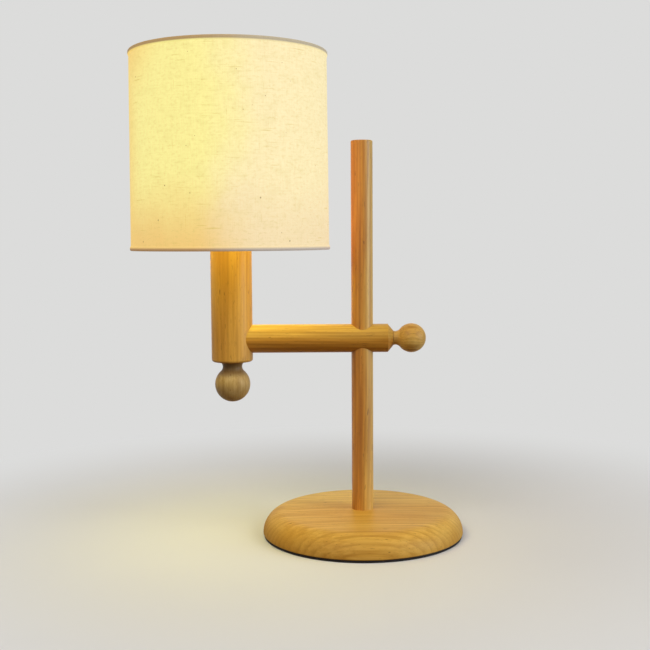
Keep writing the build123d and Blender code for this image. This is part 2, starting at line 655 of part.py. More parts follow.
def holder_body():
    """The upper half of the lampholder, with a shoulder and an outer thread for the shade ring."""
    spigot = CAP_RADIUS - CAP_WALL - THREAD_GAP
    top = HOLDER_EDGE + HOLDER_HEIGHT
    body = turned(
        (CORE_RADIUS + PRESS_GAP, HOLDER_EDGE - HOLDER_SPIGOT),
        (spigot, HOLDER_EDGE - HOLDER_SPIGOT),
        (spigot, HOLDER_EDGE),
        (SHOULDER_RADIUS, HOLDER_EDGE),
        (SHOULDER_RADIUS, FITTER_SEAT),
        (HOLDER_THREAD_RADIUS, FITTER_SEAT),
        (HOLDER_THREAD_RADIUS, top),
        (HOLDER_BORE_RADIUS, top),
        (HOLDER_BORE_RADIUS, CORE_TOP),
        (CORE_RADIUS + PRESS_GAP, CORE_TOP),
    )
    return HOLDER * body


def holder_core():
    """The ceramic disc that carries the contacts and their terminals, with two forks under it that
    guide the switch bar and stop its collar at each end of its travel."""
    core = rod(CORE_RADIUS, CORE_BOTTOM, CORE_TOP)
    fork_foot = SWITCH_HEIGHT - SWITCH_FORK_GRIP
    fork_height = CORE_BOTTOM - fork_foot
    fork_offset = (SWITCH_COLLAR_WIDTH + SWITCH_TRAVEL + SWITCH_FORK_THICKNESS) / 2 + RUNNING_GAP
    slot_radius = SWITCH_BAR_RADIUS + RUNNING_GAP
    for side in (-1, 1):
        fork = Pos(0, 0, fork_foot + fork_height / 2) * Box(SWITCH_FORK_WIDTH, SWITCH_FORK_THICKNESS, fork_height)
        fork -= Pos(0, 0, SWITCH_HEIGHT) * Rot(90, 0, 0) * Cylinder(slot_radius, 2 * SWITCH_FORK_THICKNESS)
        core += Pos(0, side * fork_offset, 0) * fork
    for side in (-1, 1):
        core -= Pos(side * TERMINAL_OFFSET, 0, 0) * rod(
            TERMINAL_SHANK + PRESS_GAP, CORE_BOTTOM - 1, CORE_BOTTOM + TERMINAL_DEPTH + LOOSE_GAP
        )
    return HOLDER * core


def terminal_screws():
    """The two screws that hold the conductors."""
    screws = []
    for side in (-1, 1):
        screw = rod(TERMINAL_HEAD, CORE_BOTTOM - TERMINAL_HEAD_HEIGHT, CORE_BOTTOM)
        screw += rod(TERMINAL_SHANK, CORE_BOTTOM, CORE_BOTTOM + TERMINAL_DEPTH)
        screw -= Pos(0, 0, CORE_BOTTOM - TERMINAL_HEAD_HEIGHT) * Box(2 * TERMINAL_HEAD, 0.8, 1.6)
        screws.append(HOLDER * Pos(side * TERMINAL_OFFSET, 0, 0) * screw)
    return Compound(children=screws)


def switch_bar():
    """The push-through bar of the switch, with the collar that works the contact. It is pushed in from
    the front, and stands out at the back."""
    half = CAP_RADIUS + SWITCH_STAND_OUT + SWITCH_TRAVEL / 2
    bar = rod(SWITCH_BAR_RADIUS, -half, half)
    bar = fillet(bar.edges().filter_by(GeomType.CIRCLE), 0.4 * SWITCH_BAR_RADIUS)
    bar += rod(SWITCH_COLLAR_RADIUS, -SWITCH_COLLAR_WIDTH / 2, SWITCH_COLLAR_WIDTH / 2)
    return SWITCH * Pos(0, 0, SWITCH_TRAVEL / 2) * bar


def socket_shell():
    """The brass sleeve whose rolled thread takes the cap of the bulb."""
    low, high = CORE_TOP, CORE_TOP + SOCKET_TURNS * EDISON_PITCH
    inner = rolled_thread(SOCKET_MEAN_RADIUS, low, SOCKET_TURNS)
    outer = rolled_thread(SOCKET_MEAN_RADIUS + SOCKET_SHEET, low, SOCKET_TURNS)
    ends = [
        Line((SOCKET_MEAN_RADIUS, height), (SOCKET_MEAN_RADIUS + SOCKET_SHEET, height)) for height in (low, high)
    ]
    return HOLDER * turned_edges(*inner, *outer, *ends)


def centre_contact():
    """The sprung strip that the tip of the bulb presses."""
    steps = [(0, 0), (CONTACT_FOOT, 0), (CONTACT_FOOT + CONTACT_RUN, CONTACT_RISE)]
    steps.append((steps[-1][0] + CONTACT_TOUCH, CONTACT_RISE))
    under = [(x, z) for x, z in steps]
    over = [(x, z + CONTACT_THICKNESS) for x, z in reversed(steps)]
    strip = extrude(Plane.XZ * make_face(Polyline(*under, *over, close=True)), CONTACT_WIDTH / 2, both=True)
    middle = steps[-1][0] - CONTACT_TOUCH / 2
    return HOLDER * Pos(-middle, 0, CORE_TOP) * strip


def shade_nut():
    """The flanged ring that screws down on the shade's fitter."""
    bore = HOLDER_THREAD_RADIUS + THREAD_GAP
    ring = tube(SHADE_NUT_FLANGE_RADIUS, bore, FITTER_TOP, FITTER_TOP + SHADE_NUT_FLANGE)
    ring += tube(SHADE_NUT_RADIUS, bore, FITTER_TOP, FITTER_TOP + SHADE_NUT_HEIGHT)
    return HOLDER * ring


# ---------------------------------------------------------------------------------------------------
# Bulb
# ---------------------------------------------------------------------------------------------------
def bulb_contact():
    """The bulb's centre contact."""
    tip = turned(
        (0, BULB_TIP),
        (BULB_TIP_RADIUS / 2, BULB_TIP),
        (BULB_TIP_RADIUS, BULB_TIP + BULB_TIP_HEIGHT),
        (0, BULB_TIP + BULB_TIP_HEIGHT),
    )
    return HOLDER * tip


def bulb_insulator():
    """The ring between the bulb's two contacts."""
    low = BULB_TIP + BULB_TIP_HEIGHT
    return HOLDER * turned((0, low), (BULB_TIP_RADIUS + 1, low), (BULB_INSULATOR_RADIUS, BULB_THREAD), (0, BULB_THREAD))


def bulb_cap():
    """The bulb's screw cap, closed at the insulator and crimped to the housing."""
    mean = BULB_THREAD_MEAN_RADIUS
    cap = turned_edges(
        Polyline((0, BULB_NECK), (0, BULB_THREAD), (mean, BULB_THREAD)),
        *rolled_thread(mean, BULB_THREAD, BULB_THREAD_TURNS),
        Polyline(
            (mean, BULB_COLLAR),
            (BULB_COLLAR_RADIUS, BULB_COLLAR + EDISON_WAVE),
            (BULB_COLLAR_RADIUS, BULB_NECK),
            (0, BULB_NECK),
        ),
    )
    hollow = rod(mean - EDISON_WAVE - BULB_WALL, BULB_THREAD + BULB_WALL, BULB_NECK + OVERSHOOT)
    return HOLDER * (cap - hollow)


def bulb_housing():
    """The flared housing of the bulb's driver, with a ledge for the board."""
    middle = BULB_NECK + BULB_HOUSING_HEIGHT / 2
    ledge = BULB_RIM - BULB_BOARD_THICKNESS
    housing = turned_edges(
        ThreePointArc((BULB_NECK_RADIUS, BULB_NECK), (BULB_HOUSING_BELLY, middle), (BULB_RIM_RADIUS, BULB_RIM)),
        Polyline(
            (BULB_RIM_RADIUS, BULB_RIM),
            (BULB_BOARD_RADIUS + THREAD_GAP, BULB_RIM),
            (BULB_BOARD_RADIUS + THREAD_GAP, ledge),
            (BULB_BOARD_RADIUS - BULB_WALL, ledge),
        ),
        ThreePointArc(
            (BULB_BOARD_RADIUS - BULB_WALL, ledge),
            (BULB_HOUSING_BELLY - 2 * BULB_WALL, middle),
            (BULB_NECK_RADIUS - 2 * BULB_WALL, BULB_NECK),
        ),
        Line((BULB_NECK_RADIUS - 2 * BULB_WALL, BULB_NECK), (BULB_NECK_RADIUS, BULB_NECK)),
    )
    return HOLDER * housing


def bulb_board():
    """The disc that carries the light-emitting diodes."""
    board = rod(BULB_BOARD_RADIUS, BULB_RIM - BULB_BOARD_THICKNESS, BULB_RIM)
    chip_circle, chip_count, chip_size, chip_height = 0.6 * BULB_BOARD_RADIUS, 10, 3.0, 0.8
    for chip in ring_of(chip_count, chip_circle, Pos(0, 0, BULB_RIM) * Box(chip_size, chip_size, 2 * chip_height)):
        board += chip
    return HOLDER * board


def bulb_globe():
    """The diffusing globe: a thin ball, open where it sits on the housing."""
    centre = BULB_RIM + BULB_GLOBE_LIFT
    ball = Sphere(BULB_GLOBE_RADIUS) - Sphere(BULB_GLOBE_RADIUS - BULB_WALL)
    return HOLDER * (Pos(0, 0, centre) * ball - rod(2 * BULB_GLOBE_RADIUS, BULB_NECK, BULB_RIM))


# ---------------------------------------------------------------------------------------------------
# Shade: each layer is a slightly tapered drum
# ---------------------------------------------------------------------------------------------------
def shade_radius(height):
    """The outer radius of the hem at a height above the shade's bottom edge."""
    return SHADE_BOTTOM_RADIUS - SHADE_TAPER * height / SHADE_HEIGHT


def shade_layer(inset, thickness, low, high):
    """A tapered wall whose outside lies that far inside the hem's."""
    return turned(
        (shade_radius(low) - inset - thickness, low),
        (shade_radius(low) - inset, low),
        (shade_radius(high) - inset, high),
        (shade_radius(high) - inset - thickness, high),
    )


def shade_fabric():
    """The woven cover."""
    return SHADE * shade_layer(HEM_THICKNESS, FABRIC_THICKNESS, HEM_THICKNESS, SHADE_HEIGHT - HEM_THICKNESS)


def shade_liner():
    """The stiff translucent sheet that the cover is glued to."""
    inset = HEM_THICKNESS + FABRIC_THICKNESS
    return SHADE * shade_layer(inset, SHADE_LINER_THICKNESS, HEM_THICKNESS, SHADE_HEIGHT - HEM_THICKNESS)


def hem(edge, inward):
    """A fabric strip folded over an edge of the shade: an outer leg, the fold and an inner leg. edge is
    the height of the shade's edge, and inward is 1 where the shade is above it and -1 below."""

    def leg(inset, width):
        low, high = sorted((edge, edge + inward * width))
        return shade_layer(inset, HEM_THICKNESS, low, high)

    inner_inset = RING_INSET + RING_WIRE_RADIUS + RUNNING_GAP
    low, high = sorted((edge, edge + inward * HEM_THICKNESS))
    fold = shade_layer(HEM_THICKNESS, inner_inset - HEM_THICKNESS, low, high)
    return leg(0, HEM_WIDTH) + fold + leg(inner_inset, HEM_RETURN)


def shade_top_hem():
    """The strip over the top edge."""
    return SHADE * hem(SHADE_HEIGHT, -1)


def shade_bottom_hem():
    """The strip over the bottom edge, notched on its inside for the fitter's arms."""
    strip = hem(0, 1)
    for notch in fitter_wires(FITTER_WIRE_RADIUS + LOOSE_GAP):
        strip -= notch
    return SHADE * strip


def ring_wire(height):
    """A wire ring inside the shade, with the height of its wire's centre."""
    return Pos(0, 0, height) * Torus(shade_radius(height) - RING_INSET, RING_WIRE_RADIUS)


BOTTOM_RING_HEIGHT = HEM_THICKNESS + RING_WIRE_RADIUS + PRESS_GAP
TOP_RING_HEIGHT = SHADE_HEIGHT - BOTTOM_RING_HEIGHT
FITTER_HEIGHT = BODY_TOP + FITTER_SEAT - SHADE_BOTTOM  # seat of the fitter ring, in the shade's frame


def shade_bottom_ring():
    """The wire ring in the bottom hem."""
    return SHADE * ring_wire(BOTTOM_RING_HEIGHT)


def shade_top_ring():
    """The wire ring in the top hem."""
    return SHADE * ring_wire(TOP_RING_HEIGHT)


def fitter_ring():
    """The flat ring that is clamped between the lampholder's shoulder and the shade nut."""
    top = FITTER_HEIGHT + FITTER_RING_THICKNESS
    return SHADE * tube(FITTER_RING_RADIUS, HOLDER_THREAD_RADIUS + LOOSE_GAP, FITTER_HEIGHT, top)


def fitter_wires(wire_radius):
    """Straight wires from the underside of the fitter ring down to the bottom ring."""
    start = Vector(FITTER_RING_RADIUS - wire_radius, 0, FITTER_HEIGHT - FITTER_WIRE_RADIUS + FITTER_WELD)
    end = Vector(shade_radius(BOTTOM_RING_HEIGHT) - RING_INSET, 0, BOTTOM_RING_HEIGHT)
    run = end - start
    wire = Plane(origin=start, z_dir=run) * rod(wire_radius, 0, run.length)
    return [Rot(0, 0, FITTER_ARM_ANGLE + i * 360 / FITTER_ARM_COUNT) * wire for i in range(FITTER_ARM_COUNT)]


def fitter_arms():
    """The wires that carry the shade, coped to the two rings that they are welded to."""
    rings = [SHADE.inverse() * fitter_ring(), SHADE.inverse() * shade_bottom_ring()]
    arms = []
    for wire in fitter_wires(FITTER_WIRE_RADIUS):
        for ring in rings:
            wire -= ring
        arms.append(SHADE * wire.solids().sort_by(SortBy.VOLUME)[-1])
    return Compound(children=arms)


# ---------------------------------------------------------------------------------------------------
# The pieces, by name
# ---------------------------------------------------------------------------------------------------
NODES = {
    "base_pad": base_pad,
    "base_dome": base_dome,
    "ballast_disc": ballast_disc,
    "ballast_screws": ballast_screws,
    "post_bolt": post_bolt,
    "post_insert": post_insert,
    "post": post,
    "post_liner": post_liner,
    "arm": arm,
    "height_insert": height_clamp.insert,
    "height_pad": height_clamp.pad,
    "height_stud": height_clamp.stud,
    "height_knob": height_clamp.knob,
    "head_body": head_body,
    "tilt_insert": tilt_clamp.insert,
    "tilt_pad": tilt_clamp.pad,
    "tilt_stud": tilt_clamp.stud,
    "tilt_knob": tilt_clamp.knob,
    "cord_grommet": cord_grommet,
    "holder_plate": holder_plate,
    "plate_screws": plate_screws,
    "nipple": nipple,
    "nipple_nut": nipple_nut,
    "holder_cap": holder_cap,
    "holder_body": holder_body,
    "holder_core": holder_core,
    "terminal_screws": terminal_screws,
    "switch_bar": switch_bar,
    "socket_shell": socket_shell,
    "centre_contact": centre_contact,
    "shade_nut": shade_nut,
    "bulb_contact": bulb_contact,
    "bulb_insulator": bulb_insulator,
    "bulb_cap": bulb_cap,
    "bulb_housing": bulb_housing,
    "bulb_board": bulb_board,
    "bulb_globe": bulb_globe,
    "shade_fabric": shade_fabric,
    "shade_liner": shade_liner,
    "shade_top_hem": shade_top_hem,
    "shade_bottom_hem": shade_bottom_hem,
    "shade_top_ring": shade_top_ring,
    "shade_bottom_ring": shade_bottom_ring,
    "fitter_ring": fitter_ring,
    "fitter_arms": fitter_arms,
}

os.makedirs("parts", exist_ok=True)
for name, make in NODES.items():
    export_step(make(), f"parts/{name}.step")
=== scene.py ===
"""The looks of a wooden desk lamp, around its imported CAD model. Metres, +Z up, in the CAD model's
frame: the origin is on the table under the post, the arm lies along X and the head is at -X."""

import json
import math

import bpy
from mathutils import Euler, Matrix, Vector, noise

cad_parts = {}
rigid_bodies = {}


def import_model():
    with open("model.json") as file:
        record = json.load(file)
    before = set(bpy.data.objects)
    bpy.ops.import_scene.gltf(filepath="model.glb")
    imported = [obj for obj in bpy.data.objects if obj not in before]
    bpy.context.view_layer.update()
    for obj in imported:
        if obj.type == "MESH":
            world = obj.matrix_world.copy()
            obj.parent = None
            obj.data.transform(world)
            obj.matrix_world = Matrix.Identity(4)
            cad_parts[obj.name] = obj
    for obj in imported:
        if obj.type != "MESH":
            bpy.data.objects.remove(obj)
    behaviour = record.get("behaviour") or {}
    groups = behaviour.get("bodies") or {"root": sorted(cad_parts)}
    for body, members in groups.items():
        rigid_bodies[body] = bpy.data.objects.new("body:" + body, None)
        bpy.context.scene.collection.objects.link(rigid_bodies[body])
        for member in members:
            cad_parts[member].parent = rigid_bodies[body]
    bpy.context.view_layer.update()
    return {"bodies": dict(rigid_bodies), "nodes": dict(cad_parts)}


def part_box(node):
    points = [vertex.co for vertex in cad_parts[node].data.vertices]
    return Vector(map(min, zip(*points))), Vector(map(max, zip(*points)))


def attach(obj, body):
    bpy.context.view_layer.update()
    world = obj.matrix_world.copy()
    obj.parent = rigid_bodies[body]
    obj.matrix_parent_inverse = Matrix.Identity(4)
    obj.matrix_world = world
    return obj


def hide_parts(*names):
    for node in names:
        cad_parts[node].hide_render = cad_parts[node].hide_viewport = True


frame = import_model()
MM = 0.001

# ---------------------------------------------------------------------------------------------------
# Places read from the frame
# ---------------------------------------------------------------------------------------------------
HEM_LOW, HEM_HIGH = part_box("shade_bottom_hem")
GLOBE_LOW, GLOBE_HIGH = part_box("bulb_globe")
HEAD_X = (HEM_LOW.x + HEM_HIGH.x) / 2
SHADE_BOTTOM = HEM_LOW.z
SHADE_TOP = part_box("shade_top_hem")[1].z
SHADE_HEIGHT = SHADE_TOP - SHADE_BOTTOM
SHADE_BOTTOM_RADIUS = (HEM_HIGH.x - HEM_LOW.x) / 2
SHADE_TAPER = 1.6 * MM  # how much smaller its radius is at the top
GLOBE_CENTRE = Vector((HEAD_X, 0, GLOBE_HIGH.z - (GLOBE_HIGH.x - GLOBE_LOW.x) / 2))

# ---------------------------------------------------------------------------------------------------
# Building materials
# ---------------------------------------------------------------------------------------------------
MIX_FACTOR, MIX_FIRST, MIX_SECOND = 0, 6, 7  # the inputs of a Mix node that mixes colours
MIX_RESULT = 2
NOISE_SPAN = (0.3, 0.7)  # where most of a noise's values lie


class Surface:
    """A material's node tree, with short calls to build it."""

    def __init__(self, name):
        self.material = bpy.data.materials.new(name)
        self.material.use_nodes = True
        self.tree = self.material.node_tree
        self.shader = self.tree.nodes["Principled BSDF"]
        coordinates = self.tree.nodes.new("ShaderNodeTexCoord")
        self.place = coordinates.outputs["Object"]
        self.normal = coordinates.outputs["Normal"]

    def node(self, kind, inputs, **settings):
        """A new node. inputs pairs its sockets' names or numbers with values or other sockets."""
        node = self.tree.nodes.new(kind)
        for key, value in settings.items():
            setattr(node, key, value)
        for key, value in inputs.items():
            self.feed(node.inputs[key], value)
        return node

    def feed(self, socket, value):
        """Links a value that is a socket, and sets any other."""
        if isinstance(value, bpy.types.NodeSocket):
            self.tree.links.new(value, socket)
        else:
            socket.default_value = value

    def math(self, operation, *values):
        return self.node("ShaderNodeMath", dict(enumerate(values)), operation=operation).outputs[0]

    def vector(self, operation, *values, output=0):
        node = self.node("ShaderNodeVectorMath", dict(enumerate(values)), operation=operation)
        return node.outputs[output]

    def split(self, vector):
        """A vector's three numbers."""
        return self.node("ShaderNodeSeparateXYZ", {"Vector": vector}).outputs

    def mapped(self, vector, scale=(1, 1, 1), rotation=(0, 0, 0), location=(0, 0, 0)):
        places = {"Vector": vector, "Scale": scale, "Rotation": rotation, "Location": location}
        return self.node("ShaderNodeMapping", places).outputs[0]

    def noise(self, vector, scale, detail=2.0, roughness=0.5, output="Fac", shift=(0, 0, 0)):
        """Noise of a scale in cycles a metre, which is one number or one for each direction."""
        if isinstance(scale, tuple):
            vector = self.mapped(vector, scale=scale, location=shift)
            scale = 1.0
        places = {"Vector": vector, "Scale": scale, "Detail": detail, "Roughness": roughness}
        return self.node("ShaderNodeTexNoise", places).outputs[output]

    def ramp(self, value, stops):
        """The value, carried from grey to grey along stops of (position, grey)."""
        node = self.node("ShaderNodeValToRGB", {"Fac": value})
        elements = node.color_ramp.elements
        for position, _ in stops[2:]:
            elements.new(position)
        for element, (position, grey) in zip(elements, stops):
            element.position = position
            element.color = (grey, grey, grey, 1)
        return node.outputs["Color"]

    def range(self, value, low, high, to_low=0.0, to_high=1.0):
        """The value, carried smoothly from one range to another and kept inside it."""
        places = {"Value": value, "From Min": low, "From Max": high, "To Min": to_low, "To Max": to_high}
        return self.node("ShaderNodeMapRange", places, interpolation_type="SMOOTHSTEP").outputs[0]

    def mix(self, factor, first, second, blend="MIX"):
        """Two colours, mixed by a factor."""
        node = self.node("ShaderNodeMix", {MIX_FACTOR: factor}, data_type="RGBA", blend_type=blend)
        for number, colour in ((MIX_FIRST, first), (MIX_SECOND, second)):
            self.feed(node.inputs[number], rgba(colour) if isinstance(colour, tuple) else colour)
        return node.outputs[MIX_RESULT]

    def bump(self, height, distance):
        """Raises the surface by a height of 0 to 1 times the distance."""
        node = self.node("ShaderNodeBump", {"Height": height, "Distance": distance})
        self.feed(self.shader.inputs["Normal"], node.outputs[0])

    def set(self, **values):
        """Feeds the shader's sockets, with underscores for the spaces in their names."""
        for key, value in values.items():
            self.feed(self.shader.inputs[key.replace("_", " ")], value)
        return self.material


def rgba(colour):
    return (*colour, 1)


def srgb(red, green, blue):
    """A colour of 0 to 255 as shaders want it, by the sRGB curve."""
    shares = (red / 255, green / 255, blue / 255)
    return tuple(c / 12.92 if c <= 0.04045 else ((c + 0.055) / 1.055) ** 2.4 for c in shares)


def paint(material, *nodes):
    """Gives a material to CAD nodes."""
    for name in nodes:
        mesh = frame["nodes"][name].data
        mesh.materials.clear()
        mesh.materials.append(material)


# ---------------------------------------------------------------------------------------------------
# Wood
# ---------------------------------------------------------------------------------------------------
WOOD_LIGHT = srgb(226, 182, 94)
WOOD_MEDIUM = srgb(208, 153, 62)
WOOD_DARK = srgb(156, 98, 28)
# The colour of dark flecks in the wood, and also of the painted shade in a knob's neck under the head
WOOD_FLECK_AND_SHADE = srgb(96, 58, 18)
HEARTWOOD_LIGHT_AND_SHADE = (0.88, 0.66, 0.45)  # what the wood's colour is multiplied by near the pith: redder heartwood, and painted warm light and shade
HEARTWOOD_LIGHT_AND_SHADE_EDGE = (1.18, 0.86)  # where it starts and where it is full, in shares of its reach
GRAIN_SLOPE = (math.radians(1.1), math.radians(-0.7))  # how far the grain leans off its axis
LACQUER_ROUGHNESS = 0.30
WOOD_ROUGHNESS = 0.36  # which fibres and end grain add these to
FIBRE_ROUGHNESS = 0.24
END_GRAIN_ROUGHNESS = 0.16
WOOD_RELIEF = 0.07 * MM
RING_RELIEF, FIBRE_RELIEF, PORE_RELIEF = 0.35, -0.5, -0.4  # the shares of these in it

# How dark a growth ring is from its inner to its outer side, and by how many rings it wanders
RING_TONES = ((0.0, 0.25), (0.12, 0.0), (0.45, 0.18), (0.80, 0.75), (0.93, 1.0), (1.0, 0.25))
RING_WANDER = 1.4

# The scales of what the wood shows: across the grain, in both directions, and along it
SWAY_SCALE = (9, 9, 2.2)
WANDER_SCALE = (40, 40, 40)
BOLDNESS_SCALE = (14, 14, 3)
FIBRE_SCALE = (1250, 1250, 26)
STREAK_SCALE = (240, 240, 7)
PORE_SCALE = (1500, 1500, 120)
KNOT_SCALE = (420, 420, 75)
TONE_SCALE = (16, 16, 5)

# Where in their noise these start and are full. Pale streaks lie below the middle of the noise
BOLDNESS_SPAN = (0.32, 0.72)
DARK_STREAKS = (0.38, 0.72)
PALE_STREAKS = (0.48, 0.26)
FIBRES = (0.40, 0.78)
PORES = (0.665, 0.74)
KNOTS = (0.835, 0.87)

# How strongly they colour the wood, where 1 hides what is under them
FAINTEST_RING = 0.25
RING_DEPTH = 0.62
DARK_STREAK_DEPTH = 0.60
PALE_STREAK_DEPTH = 0.70
FIBRE_DEPTH = 0.32
PORE_DEPTH = 0.45
KNOT_DEPTH = 0.75
END_GRAIN_DEPTH = 0.32
# The painted shade that the head throws on a knob's neck
NECK_SHADE_DEPTH = 0.62

# How much the surface faces along the grain where end grain starts and is full, and where the
# streaks are faintest and full, with the share of them that end grain keeps
END_GRAIN = (0.55, 0.97)
STREAKED_SIDES = (0.75, 0.15)
STREAKS_ON_ENDS = 0.25


def tinted(colour, tint):
    return tuple(c * t for c, t in zip(colour, tint))


def grain_place(surface, low, high, grain, pith, seed):
    """The surface's places, turned and moved so that the grain runs along Z and the rings' centre is
    at X = Y = 0. low and high are the piece's box, and seed says where along the grain it is cut."""
    turn = Euler((0, 0, 0)) if grain == "Z" else Euler((0, math.radians(-90), 0))
    rotation = (Euler((*GRAIN_SLOPE, 0)).to_matrix() @ turn.to_matrix()).to_euler()
    middle = rotation.to_matrix() @ ((low + high) / 2)
    shift = (pith[0] - middle.x, pith[1] - middle.y, seed - middle.z)
    return surface.mapped(surface.place, rotation=rotation, location=shift)


def growth_rings(surface, place, swayed, ring):
    """How much a place is in a ring's dark late wood, 0 to 1, and how far it is from the pith."""
    across = surface.vector("MULTIPLY", swayed, (1, 1, 0))
    radius = surface.vector("LENGTH", across, output="Value")
    wander = surface.math("MULTIPLY", surface.noise(across, WANDER_SCALE, 1.0), RING_WANDER)
    phase = surface.math("ADD", surface.math("DIVIDE", radius, ring), wander)
    late = surface.ramp(surface.math("FRACT", phase), RING_TONES)
    bold = surface.range(surface.noise(place, BOLDNESS_SCALE), *BOLDNESS_SPAN, to_low=FAINTEST_RING)
    return surface.math("MULTIPLY", late, bold), radius


def wood(
    node, grain, pith, ring, seed, tint, waver=3.5 * MM, contrast=1.0, gloss=0.22, heart_light_and_shade=0, neck_shade_reach=0
):
    """Lacquered wood with its growth rings as a solid pattern, so that sides, ends and balls show the
    grain of one piece. grain is the axis that it runs along, pith is where the rings' centre lies from
    the middle of the piece, across the grain, and ring is a ring's width. The last two arguments are
    how far from the pith the redder heartwood reaches, which is partly the wood's own colour and
    partly painted light and shade, and the share of the piece's height, from the top, at which the
    painted shade that the head throws on a knob's neck has faded out."""
    surface = Surface("wood_" + node)
    low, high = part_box(node)
    place = grain_place(surface, low, high, grain, pith, seed)
    sway = surface.noise(place, SWAY_SCALE, 3.0, 0.55, "Color")
    sway = surface.vector("MULTIPLY_ADD", sway, (2 * waver,) * 3, (-waver,) * 3)
    swayed = surface.vector("ADD", place, sway)
    late, radius = growth_rings(surface, place, swayed, ring)
    fibre = surface.noise(swayed, FIBRE_SCALE, 3.0, 0.6)
    streak = surface.noise(swayed, STREAK_SCALE, 2.0, 0.6)
    pore = surface.range(surface.noise(swayed, PORE_SCALE, 1.0), *PORES)
    knot = surface.range(surface.noise(place, KNOT_SCALE, 0.0), *KNOTS)
    tone = surface.range(surface.noise(place, TONE_SCALE), *NOISE_SPAN)
    axis = (1, 0, 0) if grain == "X" else (0, 0, 1)
    facing = surface.vector("DOT_PRODUCT", surface.normal, axis, output="Value")
    facing = surface.math("ABSOLUTE", facing)
    end = surface.range(facing, *END_GRAIN)
    along = surface.range(facing, *STREAKED_SIDES, to_low=STREAKS_ON_ENDS)

    light, medium, dark = (tinted(colour, tint) for colour in (WOOD_LIGHT, WOOD_MEDIUM, WOOD_DARK))
    fibres = surface.range(fibre, *FIBRES, to_high=FIBRE_DEPTH * contrast)
    darker = surface.range(streak, *DARK_STREAKS, to_high=DARK_STREAK_DEPTH * contrast)
    lighter = surface.range(streak, *PALE_STREAKS, to_high=PALE_STREAK_DEPTH * contrast)
    colour = surface.mix(tone, light, medium)
    colour = surface.mix(surface.math("MULTIPLY", late, RING_DEPTH * contrast), colour, dark)
    colour = surface.mix(surface.math("MULTIPLY", darker, along), colour, dark)
    colour = surface.mix(surface.math("MULTIPLY", lighter, along), colour, light)
    colour = surface.mix(fibres, colour, dark)
    colour = surface.mix(surface.math("MULTIPLY", pore, PORE_DEPTH), colour, WOOD_FLECK_AND_SHADE)
    colour = surface.mix(surface.math("MULTIPLY", knot, KNOT_DEPTH), colour, WOOD_FLECK_AND_SHADE)
    colour = surface.mix(surface.math("MULTIPLY", end, END_GRAIN_DEPTH), colour, dark)
    # Redder heartwood near the pith, partly the wood's own colour and partly painted light and shade:
    # the shade's warm light on the post's side towards the head, and the shade under the arm
    if heart_light_and_shade:
        redder_light_and_shade = surface.range(radius, *(share * heart_light_and_shade for share in HEARTWOOD_LIGHT_AND_SHADE_EDGE))
        colour = surface.mix(redder_light_and_shade, colour, HEARTWOOD_LIGHT_AND_SHADE, "MULTIPLY")
    # Painted shade: the head's shadow on the knob's neck and the top of its ball, darker towards the top
    if neck_shade_reach:
        faded = high.z - neck_shade_reach * (high.z - low.z)
        z = surface.split(surface.place)[2]
        painted_neck_shade = surface.range(z, faded, (high.z + faded) / 2, to_high=NECK_SHADE_DEPTH)
        colour = surface.mix(painted_neck_shade, colour, WOOD_FLECK_AND_SHADE)

    rough = surface.math("MULTIPLY_ADD", fibre, FIBRE_ROUGHNESS, WOOD_ROUGHNESS)
    rough = surface.math("ADD", rough, surface.math("MULTIPLY", end, END_GRAIN_ROUGHNESS))
    height = surface.math("MULTIPLY", late, RING_RELIEF)
    height = surface.math("MULTIPLY_ADD", fibre, FIBRE_RELIEF, height)
    height = surface.math("ADD", height, surface.math("MULTIPLY", pore, PORE_RELIEF))
    surface.bump(height, WOOD_RELIEF)
    return surface.set(
        Base_Color=colour,
        Roughness=rough,
        Specular_IOR_Level=gloss,
        Coat_Weight=gloss / 3,
        Coat_Roughness=LACQUER_ROUGHNESS,
    )


WOODEN = {
    "base_dome": dict(
        grain="X", pith=(0.012, -0.085), ring=6.5 * MM, seed=0.31, tint=(1.08, 1.15, 1.20),
        waver=7 * MM, contrast=0.62, gloss=0.10,
    ),
    # Its heartwood also paints the shade's warm light on its side towards the head
    "post": dict(
        grain="Z", pith=(0.021, 0.014), ring=3.4 * MM, seed=0.77, tint=(1.03, 1.07, 1.02),
        gloss=0.50, heart_light_and_shade=23 * MM,
    ),
    # Its heartwood also paints the shade on its underside
    "arm": dict(
        grain="X", pith=(-0.024, 0.017), ring=3.2 * MM, seed=1.93, tint=(0.96, 0.99, 0.78),
        contrast=0.75, heart_light_and_shade=25.5 * MM,
    ),
    "head_body": dict(
        grain="Z", pith=(0.030, 0.022), ring=3.4 * MM, seed=2.41, tint=(0.89, 0.80, 0.62),
        contrast=0.6, gloss=0.30,
    ),
    "height_knob": dict(
        grain="X", pith=(0.004, 0.011), ring=2.4 * MM, seed=3.15, tint=(1.04, 1.13, 1.35),
    ),
    # Its neck and the top of its ball get painted shade, the shadow that the head throws on them
    "tilt_knob": dict(
        grain="Z", pith=(0.026, 0.020), ring=2.6 * MM, seed=4.62, tint=(0.73, 0.87, 1.52),
        contrast=0.8, neck_shade_reach=0.40,
    ),
}
for name, look in WOODEN.items():
    paint(wood(name, **look), name)

# ---------------------------------------------------------------------------------------------------
# Metal, rubber, plastic, ceramic and paint
# ---------------------------------------------------------------------------------------------------
SHADES_COARSER = 12  # how many times coarser the shades of a moulded surface are than its relief
SHADES_SPAN = (0.35, 0.65)
TURNED_LINES = (90, 90, 5200)
STAIN_SCALE = 160
STAIN_SPAN = (0.4, 0.7)
TURNED_RELIEF = 0.02 * MM


